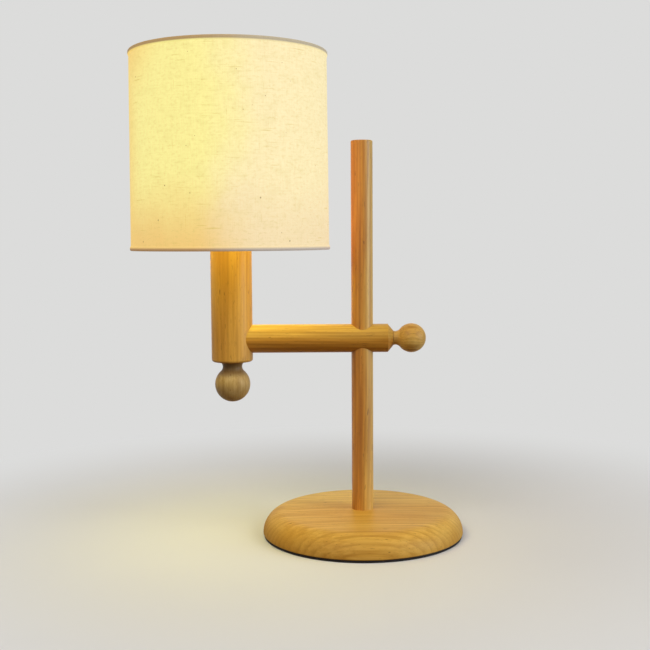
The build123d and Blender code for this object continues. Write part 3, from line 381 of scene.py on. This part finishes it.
def speckled(name, first, second, scale, rough, relief, **shader):
    """A moulded, cast, glazed or painted surface: two shades, uneven gloss and a fine relief."""
    surface = Surface(name)
    fine = surface.noise(surface.place, scale, 4.0, 0.6)
    broad = surface.noise(surface.place, scale / SHADES_COARSER, 3.0, 0.55)
    both = surface.math("MULTIPLY_ADD", fine, 0.5, surface.math("MULTIPLY", broad, 0.5))
    colour = surface.mix(surface.range(both, *SHADES_SPAN), srgb(*first), srgb(*second))
    surface.bump(fine, relief)
    return surface.set(Base_Color=colour, Roughness=surface.range(broad, *NOISE_SPAN, *rough), **shader)


def turned(name, first, second, rough):
    """Turned or drawn metal, with fine lines around its axis."""
    surface = Surface(name)
    lines = surface.noise(surface.place, TURNED_LINES, 2.0, 0.6)
    stain = surface.range(surface.noise(surface.place, STAIN_SCALE, 4.0, 0.6), *STAIN_SPAN)
    colour = surface.mix(stain, srgb(*first), srgb(*second))
    surface.bump(lines, TURNED_RELIEF)
    rough = surface.range(lines, *NOISE_SPAN, *rough)
    return surface.set(Base_Color=colour, Metallic=1.0, Roughness=rough)


# Its name, its two shades, the scale of its relief, its least and most roughness, its relief's height,
# what else the shader is given, and the nodes that have it
SPECKLED = (
    ("black_rubber", (24, 23, 22), (40, 38, 36), 900, (0.75, 0.92), 0.12 * MM,
     {"Specular_IOR_Level": 0.3}, ("base_pad", "cord_grommet")),
    ("cast_iron", (52, 52, 54), (74, 73, 72), 500, (0.5, 0.7), 0.1 * MM,
     {"Metallic": 0.7}, ("ballast_disc",)),
    ("acetal", (222, 219, 208), (210, 206, 194), 700, (0.38, 0.52), 0.03 * MM,
     {}, ("post_liner", "height_pad", "tilt_pad")),
    ("black_plastic", (26, 25, 25), (36, 34, 33), 800, (0.28, 0.42), 0.03 * MM,
     {}, ("holder_cap", "holder_body", "shade_nut", "switch_bar")),
    ("glazed_ceramic", (232, 229, 220), (220, 215, 203), 260, (0.12, 0.24), 0.03 * MM,
     {}, ("holder_core", "bulb_insulator")),
    ("white_plastic", (226, 225, 220), (216, 214, 207), 520, (0.30, 0.44), 0.03 * MM,
     {}, ("bulb_housing", "bulb_board")),
    ("white_powder_coat", (222, 219, 210), (208, 203, 192), 1100, (0.40, 0.55), 0.06 * MM,
     {}, ("shade_top_ring", "shade_bottom_ring", "fitter_ring", "fitter_arms")),
)
for *look, shader, nodes in SPECKLED:
    paint(speckled(*look, **shader), *nodes)

# Its name, its two shades, its least and most roughness, and the nodes that have it
TURNED = (
    ("zinc_plate", (190, 192, 194), (170, 174, 180), (0.22, 0.38),
     ("ballast_screws", "post_bolt", "height_stud", "tilt_stud", "holder_plate", "plate_screws",
      "nipple", "nipple_nut", "centre_contact")),
    ("brass", (214, 178, 104), (188, 146, 78), (0.22, 0.40),
     ("post_insert", "height_insert", "tilt_insert", "socket_shell", "terminal_screws")),
    ("rolled_aluminium", (200, 200, 202), (178, 178, 182), (0.22, 0.36),
     ("bulb_cap", "bulb_contact")),
)
for *look, nodes in TURNED:
    paint(turned(*look), *nodes)

# ---------------------------------------------------------------------------------------------------
# The shade's cloth and the bulb's glow
# ---------------------------------------------------------------------------------------------------
THREAD_PITCH = 0.9 * MM  # of two threads, one over and one under
CHECK_HEIGHT = 0.18  # how high the over and under is, beside the unevenness of the threads

# The scales of what the cloth shows, around the shade and up it
WARP_SCALE = (1050, 55, 1)
WEFT_SCALE = (48, 1050, 1)
LONG_SLUB_SCALE = (34, 760, 1)
TALL_SLUB_SCALE = (820, 42, 1)
SPECK_SCALE = (330, 250, 1)
MOTTLE_SCALE = (62, 105, 1)
FINE_MOTTLE_SCALE = (230, 380, 1)

# Where in their noise these start and are full
LONG_SLUBS = (0.675, 0.77)
TALL_SLUBS = (0.70, 0.80)
SPECKS = (0.85, 0.885)
THREADS = (0.35, 0.75)
MOTTLES = (0.46, 0.74)

# How strongly they colour the lit cover
MOTTLE_DEPTH = 0.16
FINE_MOTTLE_DEPTH = 0.36
THREAD_DEPTH = 0.30
SLUB_DEPTH = 0.50
SPECK_DEPTH = 0.75

COVER_RELIEF = 0.18 * MM
SLUB_RELIEF = 0.6  # beside that of the threads
COVER_ROUGHNESS = (0.78, 0.95)
COVER_SHEEN = 0.15

# How strongly threads and slubs colour the edge strips, lit from behind and folded
BINDING_THREADS_LIT = (0.1, 0.4)
BINDING_THREAD_DEPTH = 0.4
BINDING_SLUB_DEPTH = 0.3
BINDING_RELIEF = 0.15 * MM
BINDING_ROUGHNESS = (0.8, 0.95)
BINDING_LIT_WIDTH = 0.3 * MM  # from its outer edge

GLOW_LEFT = srgb(252, 243, 153)
GLOW_RIGHT = srgb(250, 234, 184)
GLOW_LOW_LEFT = srgb(239, 195, 113)
GLOW_LOW_RIGHT = srgb(240, 217, 176)
GLOW_EDGE = srgb(250, 202, 104)
GLOW_SLUB = srgb(202, 182, 98)
GLOW_SPECK = srgb(120, 98, 44)
CLOTH = srgb(128, 118, 96)
SHADE_LEVEL = 0.92  # how strongly the cloth glows

# Where the tones start and are full: across the shade, from -1 on the far side to 1 on the post's,
# and up it, from 0 to 1. The far top corner is told by the place up it less the place across
FAR_EDGE = (-0.76, -1.02)
FAR_EDGE_DEPTH = 0.75
FAR_CORNER = (1.42, 2.04)
FAR_CORNER_DEPTH = 0.9
POST_SIDE = (-0.35, 0.42)
UPPER_PART = (0.0, 0.42)

# Clouds move these places, by so much from the clouds' least to their most
CLOUD_SCALE = (14, 14, 11)
CLOUD_ACROSS = 0.9
CLOUD_UP = -0.24

LINER_LIGHT, LINER_DARK = srgb(196, 186, 164), srgb(184, 172, 148)
LINER_SHADOW = srgb(164, 146, 110)
LINER_SHADOW_SPAN, LINER_SHADOW_DEPTH = (0.45, 0.7), 0.25
LINER_GLOW_NEAR, LINER_GLOW_FAR = srgb(246, 226, 158), srgb(226, 192, 122)
LINER_GLOW_SHADOW = srgb(206, 170, 100)
LINER_GLOW_REACH = (0.10, 0.17)  # from the globe's centre
LINER_LEVEL = 0.45
LEVEL_THREAD_SCALE, UPRIGHT_THREAD_SCALE = (90, 90, 900), (900, 900, 60)

GLOBE_LIGHT, GLOBE_DARK = srgb(120, 118, 112), srgb(108, 105, 98)
GLOBE_GLOW_LOW, GLOBE_GLOW_HIGH = srgb(250, 214, 150), srgb(253, 240, 205)
GLOBE_GLOW_CLOUD = srgb(252, 228, 176)
GLOBE_CLOUD_SPAN, GLOBE_CLOUD_DEPTH = (0.35, 0.7), 0.2
GLOBE_LEVEL = 1.0


def weave(surface, cloth):
    """The height of a plain weave on cloth measured in metres, 0 to 1, and its slubs and specks."""
    warp = surface.noise(cloth, WARP_SCALE, 2.0, 0.6)
    weft = surface.noise(cloth, WEFT_SCALE, 2.0, 0.6)
    turns = 2 * math.pi / THREAD_PITCH
    x, y, _ = surface.split(cloth)
    across = surface.math("SINE", surface.math("MULTIPLY", x, turns))
    up = surface.math("SINE", surface.math("MULTIPLY", y, turns))
    check = surface.math("MULTIPLY", across, up)
    threads = surface.math("MULTIPLY_ADD", check, CHECK_HEIGHT, surface.math("MULTIPLY", warp, 0.5))
    threads = surface.math("ADD", threads, surface.math("MULTIPLY", weft, 0.5))
    long_slub = surface.noise(cloth, LONG_SLUB_SCALE, 1.0, 0.4)
    tall_slub = surface.noise(cloth, TALL_SLUB_SCALE, 1.0, 0.4, shift=(3, 7, 0))
    long_slub = surface.range(long_slub, *LONG_SLUBS)
    tall_slub = surface.range(tall_slub, *TALL_SLUBS)
    speck = surface.noise(cloth, SPECK_SCALE, 0.0, shift=(11, 5, 0))
    return threads, surface.math("MAXIMUM", long_slub, tall_slub), surface.range(speck, *SPECKS)


def shade_glow(surface):
    """The colour of the bulb's light through the shade: yellower on the side away from the post, and
    deeper in tone towards the bottom and the far left. Also 0 to 1 from that side to the post's."""
    x, _, z = surface.split(surface.place)
    side = surface.math("DIVIDE", surface.math("SUBTRACT", x, HEAD_X), SHADE_BOTTOM_RADIUS)
    height = surface.math("DIVIDE", surface.math("SUBTRACT", z, SHADE_BOTTOM), SHADE_HEIGHT)
    edge = surface.range(side, *FAR_EDGE, to_high=FAR_EDGE_DEPTH)
    corner = surface.math("SUBTRACT", height, side)
    corner = surface.range(corner, *FAR_CORNER, to_high=FAR_CORNER_DEPTH)
    cloud = surface.noise(surface.place, CLOUD_SCALE, 3.0, 0.6)
    side_shift = surface.math("MULTIPLY_ADD", cloud, CLOUD_ACROSS, -CLOUD_ACROSS / 2)
    height_shift = surface.math("MULTIPLY_ADD", cloud, CLOUD_UP, -CLOUD_UP / 2)
    across = surface.range(surface.math("ADD", side, side_shift), *POST_SIDE)
    up = surface.range(surface.math("ADD", height, height_shift), *UPPER_PART)
    upper = surface.mix(across, GLOW_LEFT, GLOW_RIGHT)
    lower = surface.mix(across, GLOW_LOW_LEFT, GLOW_LOW_RIGHT)
    glow = surface.mix(up, lower, upper)
    return surface.mix(surface.math("MAXIMUM", edge, corner), glow, GLOW_EDGE), across


def lit_cloth():
    """The shade's cover: slubbed linen with the bulb's light behind it."""
    surface = Surface("lit_linen")
    cloth = surface.node("ShaderNodeUVMap", {}, uv_map="cloth").outputs[0]
    threads, slub, speck = weave(surface, cloth)
    glow, _ = shade_glow(surface)
    mottle = surface.noise(cloth, MOTTLE_SCALE, 3.0, 0.62)
    fine_mottle = surface.noise(cloth, FINE_MOTTLE_SCALE, 3.0, 0.65)
    glow = surface.mix(surface.range(mottle, *MOTTLES, to_high=MOTTLE_DEPTH), glow, GLOW_SLUB)
    glow = surface.mix(surface.range(fine_mottle, *MOTTLES, to_high=FINE_MOTTLE_DEPTH), glow, GLOW_SLUB)
    glow = surface.mix(surface.range(threads, *THREADS, to_high=THREAD_DEPTH), glow, GLOW_SLUB)
    glow = surface.mix(surface.math("MULTIPLY", slub, SLUB_DEPTH), glow, GLOW_SLUB)
    glow = surface.mix(surface.math("MULTIPLY", speck, SPECK_DEPTH), glow, GLOW_SPECK)
    raised_slub = surface.math("MULTIPLY", slub, SLUB_RELIEF)
    surface.bump(surface.math("ADD", threads, raised_slub), COVER_RELIEF)
    return surface.set(
        Base_Color=surface.mix(raised_slub, CLOTH, GLOW_SPECK),
        Roughness=surface.range(threads, *NOISE_SPAN, *COVER_ROUGHNESS),
        Sheen_Weight=COVER_SHEEN,
        Emission_Color=glow,
        Emission_Strength=SHADE_LEVEL,
    )


def binding_cloth(name, fold, far_side_painted_tone, post_side_painted_tone, left_glow, right_glow):
    """The strip folded over an edge of the shade: as lit as the cover where it is one layer over it,
    and darker from the fold on, which is that far from its outer edge. The colours change from the
    side away from the post to the post's side: the glow colours are the bulb's light through it, and
    the two plain colours paint the warmer light on the far side into the strip's own colour."""
    surface = Surface(name)
    cloth = surface.node("ShaderNodeUVMap", {}, uv_map="cloth").outputs[0]
    threads, slub, _ = weave(surface, cloth)
    glow, across = shade_glow(surface)
    folded = surface.range(surface.split(cloth)[1], BINDING_LIT_WIDTH, fold)
    thread = surface.range(threads, *THREADS, to_high=BINDING_THREAD_DEPTH)
    # Painted light: the folded strip's own colour is browner on the far side, where the light through
    # the shade is warmer
    colour = surface.mix(thread, surface.mix(across, far_side_painted_tone, post_side_painted_tone), GLOW_SPECK)
    colour = surface.mix(surface.math("MULTIPLY", slub, BINDING_SLUB_DEPTH), colour, GLOW_SLUB)
    glow = surface.mix(surface.range(threads, *THREADS, *BINDING_THREADS_LIT), glow, GLOW_SLUB)
    glow = surface.mix(folded, glow, surface.mix(across, left_glow, right_glow))
    surface.bump(threads, BINDING_RELIEF)
    return surface.set(
        Base_Color=surface.mix(folded, CLOTH, colour),
        Roughness=surface.range(threads, *NOISE_SPAN, *BINDING_ROUGHNESS),
        Emission_Color=glow,
        Emission_Strength=SHADE_LEVEL,
    )


def liner_sheet():
    """The stiff sheet inside the shade, lit by the bulb, with a faint shadow of the weave."""
    surface = Surface("shade_liner_sheet")
    level = surface.noise(surface.place, LEVEL_THREAD_SCALE)
    upright = surface.noise(surface.place, UPRIGHT_THREAD_SCALE)
    cloudy = surface.noise(surface.place, 30, 3.0)
    colour = surface.mix(surface.range(cloudy, *NOISE_SPAN), LINER_LIGHT, LINER_DARK)
    thread = surface.math("MULTIPLY_ADD", level, 0.5, surface.math("MULTIPLY", upright, 0.5))
    shadow = surface.range(thread, *LINER_SHADOW_SPAN, to_high=LINER_SHADOW_DEPTH)
    from_bulb = surface.vector("SUBTRACT", surface.place, tuple(GLOBE_CENTRE))
    away = surface.vector("LENGTH", from_bulb, output="Value")
    glow = surface.mix(surface.range(away, *LINER_GLOW_REACH), LINER_GLOW_NEAR, LINER_GLOW_FAR)
    surface.bump(thread, 0.03 * MM)
    return surface.set(
        Base_Color=surface.mix(shadow, colour, LINER_SHADOW),
        Roughness=surface.range(cloudy, *NOISE_SPAN, 0.5, 0.62),
        Emission_Color=surface.mix(shadow, glow, LINER_GLOW_SHADOW),
        Emission_Strength=LINER_LEVEL,
    )


def opal_globe():
    """The bulb's diffusing globe, lit, a little deeper in tone near its housing."""
    surface = Surface("opal_globe")
    height = surface.range(surface.split(surface.place)[2], GLOBE_LOW.z, GLOBE_HIGH.z)
    cloudy = surface.noise(surface.place, 60)
    clouds = surface.range(cloudy, *GLOBE_CLOUD_SPAN, to_high=GLOBE_CLOUD_DEPTH)
    glow = surface.mix(height, GLOBE_GLOW_LOW, GLOBE_GLOW_HIGH)
    return surface.set(
        Base_Color=surface.mix(cloudy, GLOBE_LIGHT, GLOBE_DARK),
        Roughness=surface.range(cloudy, *NOISE_SPAN, 0.2, 0.3),
        Emission_Color=surface.mix(clouds, glow, GLOBE_GLOW_CLOUD),
        Emission_Strength=GLOBE_LEVEL,
    )


paint(opal_globe(), "bulb_globe")
paint(liner_sheet(), "shade_liner")

# ---------------------------------------------------------------------------------------------------
# The shade's pieces of cloth
# ---------------------------------------------------------------------------------------------------
SEAM_ANGLE = math.radians(70)  # where the cover's ends overlap, from +X, at the back
SEAM_LAP = 12 * MM
SEAM_RISE = 0.006  # the share of the cover over which its end rises onto its start
CLOTH_THICKNESS = 0.45 * MM
HEM_THICKNESS = 0.5 * MM
LINER_INSET = 1.1 * MM  # from the outside of the shade's edge strips to the liner's
LINER_GAP = 0.05 * MM  # between the liner and the cover, beside the cover's ripples
COVER_COLUMNS = 420
COVER_ROWS = 44
RIPPLE = 0.12 * MM
RIPPLES_AROUND = 3  # in cycles a radius
RIPPLES_UP = 22  # in cycles a metre

BINDING_COLUMNS = 420
BINDING_OUTER_WIDTH = 4.4 * MM
BINDING_INNER_WIDTH = 3.6 * MM
BINDING_DEPTH = 5.1 * MM  # from the shade's outside to the strip's inside, past the wire ring
BINDING_BULGE = 0.40 * MM  # out of the shade's outside, over the wire ring
BINDING_BEND = 1.3 * MM
BEND_STEPS = 6
SWELL = 0.10 * MM  # how far the strip stands out here and there
SWELLS_AROUND, SWELLS_UP = 9, 30
FRAY = 0.22 * MM  # how uneven its cut edges are
FRAYS_AROUND, FRAYS_UP = 16, 50
NOTCH_HEIGHT = 2.1 * MM  # in its inner edge, where an arm of the fitter passes
NOTCH_HALF_WIDTH = 3.2 * MM
NOTCHED_PART = 0.65  # the share of the inner width from which points move with the notches
FITTER_ARM_ANGLES = [math.radians(a) for a in (90, 210, 330)]


def shade_radius(z):
    """The outer radius of the shade's edge strips at a height."""
    share = (z - SHADE_BOTTOM) / SHADE_HEIGHT
    return SHADE_BOTTOM_RADIUS - SHADE_TAPER * share


def polar(radius, angle, z):
    return Vector((HEAD_X + radius * math.cos(angle), radius * math.sin(angle), z))


def mesh_piece(name, points, faces, uvs, material, node):
    """A smooth mesh on the head, with its cloth measured in metres, in place of a CAD node."""
    mesh = bpy.data.meshes.new(name)
    mesh.from_pydata(points, [], faces)
    layer = mesh.uv_layers.new(name="cloth")
    for loop in mesh.loops:
        layer.data[loop.index].uv = uvs[loop.vertex_index]
    mesh.polygons.foreach_set("use_smooth", [True] * len(mesh.polygons))
    mesh.materials.append(material)
    piece = bpy.data.objects.new(name, mesh)
    bpy.context.scene.collection.objects.link(piece)
    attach(piece, "head")
    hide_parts(node)
    return piece


def shade_cover():
    """The linen wrapped once round the liner, with its end lapped over its start at the back."""
    turn = 2 * math.pi + SEAM_LAP / SHADE_BOTTOM_RADIUS
    lap_share = 1 - SEAM_LAP / SHADE_BOTTOM_RADIUS / turn
    low, high = SHADE_BOTTOM + HEM_THICKNESS, SHADE_TOP - HEM_THICKNESS
    points, uvs, faces = [], [], []
    for layer in (0, 1):
        for i in range(COVER_COLUMNS + 1):
            share = i / COVER_COLUMNS
            angle = SEAM_ANGLE + share * turn
            lift = min(max((share - lap_share + SEAM_RISE) / SEAM_RISE, 0), 1) * CLOTH_THICKNESS
            x, y = math.cos(angle) * RIPPLES_AROUND, math.sin(angle) * RIPPLES_AROUND
            for j in range(COVER_ROWS + 1):
                z = low + (high - low) * j / COVER_ROWS
                wave = noise.noise(Vector((x, y, z * RIPPLES_UP))) * RIPPLE
                radius = shade_radius(z) - LINER_INSET + LINER_GAP + RIPPLE + lift + wave
                points.append(polar(radius + layer * CLOTH_THICKNESS, angle, z))
                uvs.append((share * turn * SHADE_BOTTOM_RADIUS, z))
    stride = COVER_ROWS + 1
    outside = (COVER_COLUMNS + 1) * stride
    for i in range(COVER_COLUMNS):
        for j in range(COVER_ROWS):
            a = i * stride + j
            quad = (a, a + stride, a + stride + 1, a + 1)
            faces.append(tuple(outside + k for k in quad))
            faces.append(tuple(reversed(quad)))
    for i in range(COVER_COLUMNS):
        for j in (0, COVER_ROWS):
            a = i * stride + j
            edge = (a, a + stride, a + stride + outside, a + outside)
            faces.append(edge if j == 0 else tuple(reversed(edge)))
    for j in range(COVER_ROWS):
        for i in (0, COVER_COLUMNS):
            a = i * stride + j
            edge = (a, a + 1, a + 1 + outside, a + outside)
            faces.append(tuple(reversed(edge)) if i == 0 else edge)
    return mesh_piece("shade_cover", points, faces, uvs, lit_cloth(), "shade_fabric")


def binding_section():
    """The points around the section of a folded strip, as insets from the shade's outside and rises
    from its edge, with how far along the cloth each lies: along its outside, then back inside."""
    profile = [  # from the outer edge, which lies on the cover, around the wire ring
        (0.10 * MM, BINDING_OUTER_WIDTH),
        (-0.28 * MM, BINDING_OUTER_WIDTH * 0.78),
        (-0.42 * MM, BINDING_OUTER_WIDTH * 0.52),
    ]
    bend_angles = [math.radians(90 * k / BEND_STEPS) for k in range(BEND_STEPS + 1)]
    for angle in bend_angles:
        inset, rise = BINDING_BEND * (1 - math.cos(angle)), BINDING_BEND * (1 - math.sin(angle))
        profile.append((-BINDING_BULGE + inset, rise))
    for angle in bend_angles:
        inset, rise = BINDING_BEND * (1 - math.sin(angle)), BINDING_BEND * (1 - math.cos(angle))
        profile.append((BINDING_DEPTH - inset, rise))
    profile.append((BINDING_DEPTH + 0.05 * MM, BINDING_INNER_WIDTH * 0.7))
    profile.append((BINDING_DEPTH, BINDING_INNER_WIDTH))
    lengths = [0.0]
    for a, b in zip(profile, profile[1:]):
        lengths.append(lengths[-1] + math.dist(a, b))
    inside = []
    for k, (inset, rise) in enumerate(profile):
        before, after = profile[max(k - 1, 0)], profile[min(k + 1, len(profile) - 1)]
        along = Vector((after[0] - before[0], after[1] - before[1])).normalized()
        inside.append((inset - along.y * CLOTH_THICKNESS, rise + along.x * CLOTH_THICKNESS))
    return [*zip(profile, lengths), *zip(reversed(inside), reversed(lengths))]


def binding(name, node, edge, inward, material, arm_angles=()):
    """A strip folded over an edge of the shade, full around the wire ring inside it. edge is the
    height of the shade's edge, and inward is 1 where the shade is above it and -1 below."""
    section = binding_section()
    size = len(section)
    points, uvs, faces = [], [], []
    for i in range(BINDING_COLUMNS):
        angle = 2 * math.pi * i / BINDING_COLUMNS
        ring = Vector((math.cos(angle), math.sin(angle), 0))
        swell = SWELL * noise.noise(ring * SWELLS_AROUND + Vector((0, 0, edge * SWELLS_UP)))
        fray = FRAY * noise.noise(ring * FRAYS_AROUND + Vector((0, 0, edge * FRAYS_UP)))
        away = min((abs(math.remainder(angle - a, 2 * math.pi)) for a in arm_angles), default=math.pi)
        beside = away * SHADE_BOTTOM_RADIUS / NOTCH_HALF_WIDTH
        notch = NOTCH_HEIGHT * max(0.0, 1 - beside) ** 0.5
        for k, ((inset, rise), length) in enumerate(section):
            from_edge = rise
            if k in (0, size - 1):
                from_edge += fray
            if rise > BINDING_INNER_WIDTH * NOTCHED_PART and inset > BINDING_DEPTH / 2:
                from_edge -= notch
            z = edge + inward * from_edge
            points.append(polar(shade_radius(z) - inset + swell, angle, z))
            uvs.append((angle * SHADE_BOTTOM_RADIUS, length))
    for i in range(BINDING_COLUMNS):
        following = (i + 1) % BINDING_COLUMNS
        for k in range(size):
            after = (k + 1) % size
            face = (i * size + k, following * size + k, following * size + after, i * size + after)
            faces.append(face if inward < 0 else tuple(reversed(face)))
    return mesh_piece(name, points, faces, uvs, material, node)


# The plain colours, from the far side to the post's, paint the warmer light on the far side; the glow
# colours are the bulb's light through the folded strip
top_cloth = binding_cloth(
    "top_binding_linen", 1.8 * MM,
    srgb(158, 132, 98), srgb(170, 160, 142), srgb(140, 116, 78), srgb(132, 122, 100),
)
bottom_cloth = binding_cloth(
    "bottom_binding_linen", 3.1 * MM,
    srgb(160, 132, 108), srgb(166, 158, 154), srgb(138, 106, 70), srgb(138, 128, 118),
)
cover = shade_cover()
top_binding = binding("shade_top_binding", "shade_top_hem", SHADE_TOP, -1, top_cloth)
bottom_binding = binding(
    "shade_bottom_binding", "shade_bottom_hem", SHADE_BOTTOM, 1, bottom_cloth, FITTER_ARM_ANGLES
)

# ---------------------------------------------------------------------------------------------------
# Floor and backdrop
# ---------------------------------------------------------------------------------------------------
BACKDROP = srgb(220, 220, 219)
FLOOR = srgb(232, 232, 234)
FLOOR_CLOUD = 0.985  # what the floor's tone is multiplied by in its clouds
FLOOR_BOUNCE = (0.15, 0.078, 0.022)  # the tone that the floor throws back at the lamp
AMBIENT = (0.135, 0.112, 0.085)
FLOOR_RADIUS = 9.0
FLOOR_FADE = (0.12, 0.62)  # where the floor starts and ends its change to the backdrop's tone


def seen(tree):
    """1 on the rays that show the background: straight from the camera, in gloss or through glass."""
    path = tree.nodes.new("ShaderNodeLightPath")
    share = path.outputs["Is Camera Ray"]
    for name in ("Is Glossy Ray", "Is Transmission Ray"):
        either = tree.nodes.new("ShaderNodeMath")
        either.operation = "MAXIMUM"
        tree.links.new(share, either.inputs[0])
        tree.links.new(path.outputs[name], either.inputs[1])
        share = either.outputs[0]
    return share


def floor():
    """A pale floor that keeps the lamp's shadow and fades into the backdrop."""
    surface = Surface("pale_floor")
    clouds = surface.range(surface.noise(surface.place, 3.0, 3.0), *NOISE_SPAN)
    fine = surface.noise(surface.place, 420)
    surface.bump(fine, 0.05 * MM)
    pale = surface.mix(clouds, FLOOR, tuple(FLOOR_CLOUD * c for c in FLOOR))
    surface.set(
        Base_Color=surface.mix(seen(surface.tree), FLOOR_BOUNCE, pale),
        Roughness=surface.range(fine, *NOISE_SPAN, 0.7, 0.8),
        Specular_IOR_Level=0.2,
    )
    faded = surface.range(surface.vector("LENGTH", surface.place, output="Value"), *FLOOR_FADE)
    glow = surface.node("ShaderNodeEmission", {"Color": rgba(BACKDROP), "Strength": seen(surface.tree)})
    blend = surface.node(
        "ShaderNodeMixShader", {0: faded, 1: surface.shader.outputs[0], 2: glow.outputs[0]}
    )
    surface.feed(surface.tree.nodes["Material Output"].inputs["Surface"], blend.outputs[0])
    bpy.ops.mesh.primitive_circle_add(vertices=96, radius=FLOOR_RADIUS, fill_type="NGON")
    plane = bpy.context.object
    plane.name = "floor"
    plane.data.materials.append(surface.material)


def backdrop():
    """The world: the backdrop's tone where it is seen, and a soft ambient light elsewhere."""
    world = bpy.data.worlds.new("studio")
    world.use_nodes = True
    bpy.context.scene.world = world
    tree = world.node_tree
    mix = tree.nodes.new("ShaderNodeMix")
    mix.data_type = "RGBA"
    tree.links.new(seen(tree), mix.inputs[MIX_FACTOR])
    mix.inputs[MIX_FIRST].default_value = rgba(AMBIENT)
    mix.inputs[MIX_SECOND].default_value = rgba(BACKDROP)
    tree.links.new(mix.outputs[MIX_RESULT], tree.nodes["Background"].inputs["Color"])


# ---------------------------------------------------------------------------------------------------
# Lights and camera
# ---------------------------------------------------------------------------------------------------
LAMP_MIDDLE = (-0.05, 0, 0.22)
POST_MIDDLE = (0, 0, 0.15)
STUDIO_LIGHTS = (  # name, place, what it faces, size, power in watts, colour
    ("key", (1.35, -0.80, 1.15), LAMP_MIDDLE, (0.9, 0.9), 12, (1.0, 0.98, 0.95)),
    ("side", (1.75, -0.45, 0.40), POST_MIDDLE, (0.7, 0.9), 13, (0.70, 0.85, 1.0)),
    ("fill", (-0.75, -1.25, 1.45), LAMP_MIDDLE, (1.2, 1.2), 17, (1.0, 0.91, 0.76)),
    ("rim", (0.1, 1.5, 1.2), LAMP_MIDDLE, (1.3, 1.3), 3, (1.0, 0.96, 0.90)),
)

BULB_COLOUR = (1.0, 0.93, 0.24)
BULB_POWER = 0.5
BEAM_COLOUR = (1.0, 0.86, 0.46)
BEAM_POWER = 1.9
BEAM_REACH = 0.97  # the share of the shade's opening that the beam fills
OPENING_POWER = 0.32
OPENING_HEIGHT = 24 * MM  # of that light above the shade's bottom
SIDE_COLOUR = (1.0, 0.42, 0.05)
SIDE_POWER = 0.032
SIDE_HEIGHT = 50 * MM
SIDE_GAP = 2 * MM

FOCAL_LENGTH_PX = 1041.9  # in the picture's 650 x 650 frame
PICTURE_PX = 650
SENSOR_WIDTH_MM = 36.0
CAMERA_PLACE = (-0.0378, -1.0566, 0.3051)
CAMERA_PITCH = math.radians(-4.82)
CAMERA_ROLL = math.radians(-0.37)


def light(name, kind, place, power, **settings):
    """A new light, facing down."""
    data = bpy.data.lights.new(name, kind)
    data.energy = power
    for key, value in settings.items():
        setattr(data, key, value)
    source = bpy.data.objects.new(name, data)
    source.location = place
    bpy.context.scene.collection.objects.link(source)
    return source


def studio_lights():
    """Soft rectangular lights around the lamp."""
    for name, place, target, (width, height), power, colour in STUDIO_LIGHTS:
        source = light(
            name, "AREA", place, power, color=colour, shape="RECTANGLE", size=width, size_y=height
        )
        facing = Vector(target) - Vector(place)
        source.rotation_euler = facing.to_track_quat("-Z", "Y").to_euler()


def bulb_lights():
    """The bulb's light: on the shade's inside, straight down through the shade's open bottom, as the
    shade's inside throws it down, and through the shade's side towards the post. These lights move
    with the head and aren't seen themselves."""
    bulb = tuple(GLOBE_CENTRE)
    cone = 2 * math.atan(BEAM_REACH * SHADE_BOTTOM_RADIUS / (GLOBE_CENTRE.z - SHADE_BOTTOM))
    opening = (HEAD_X, 0, SHADE_BOTTOM + OPENING_HEIGHT)
    beside = (HEAD_X + SHADE_BOTTOM_RADIUS + SIDE_GAP, 0, SHADE_BOTTOM + SIDE_HEIGHT)
    sources = (
        light("bulb", "POINT", bulb, BULB_POWER, color=BULB_COLOUR, shadow_soft_size=0.026),
        light(
            "bulb_down", "SPOT", bulb, BEAM_POWER,
            color=BEAM_COLOUR, shadow_soft_size=0.022, spot_size=cone, spot_blend=0.1,
        ),
        light(
            "shade_opening", "AREA", opening, OPENING_POWER,
            color=BULB_COLOUR, shape="DISK", size=0.19, spread=math.radians(150),
        ),
        light(
            "shade_side", "AREA", beside, SIDE_POWER,
            color=SIDE_COLOUR, shape="RECTANGLE", size=0.14, size_y=0.08,
        ),
    )
    sources[-1].rotation_euler = (0, math.radians(-90), 0)
    for source in sources:
        source.visible_camera = False
        source.visible_glossy = False
        source.parent = frame["bodies"]["head"]
    frame["nodes"]["bulb_globe"].visible_shadow = False


def camera():
    """The camera, at the picture's viewing angle."""
    data = bpy.data.cameras.new("camera")
    data.sensor_width = SENSOR_WIDTH_MM
    data.lens = SENSOR_WIDTH_MM * FOCAL_LENGTH_PX / PICTURE_PX
    data.clip_start, data.clip_end = 0.05, 50
    eye = bpy.data.objects.new("camera", data)
    level = Matrix.Rotation(math.radians(90), 4, "X")
    pitch = Matrix.Rotation(CAMERA_PITCH, 4, "X")
    roll = Matrix.Rotation(CAMERA_ROLL, 4, "Z")
    eye.matrix_world = Matrix.Translation(CAMERA_PLACE) @ level @ pitch @ roll
    bpy.context.scene.collection.objects.link(eye)
    bpy.context.scene.camera = eye


floor()
backdrop()
studio_lights()
bulb_lights()
camera()

bpy.context.scene.view_settings.view_transform = "Standard"
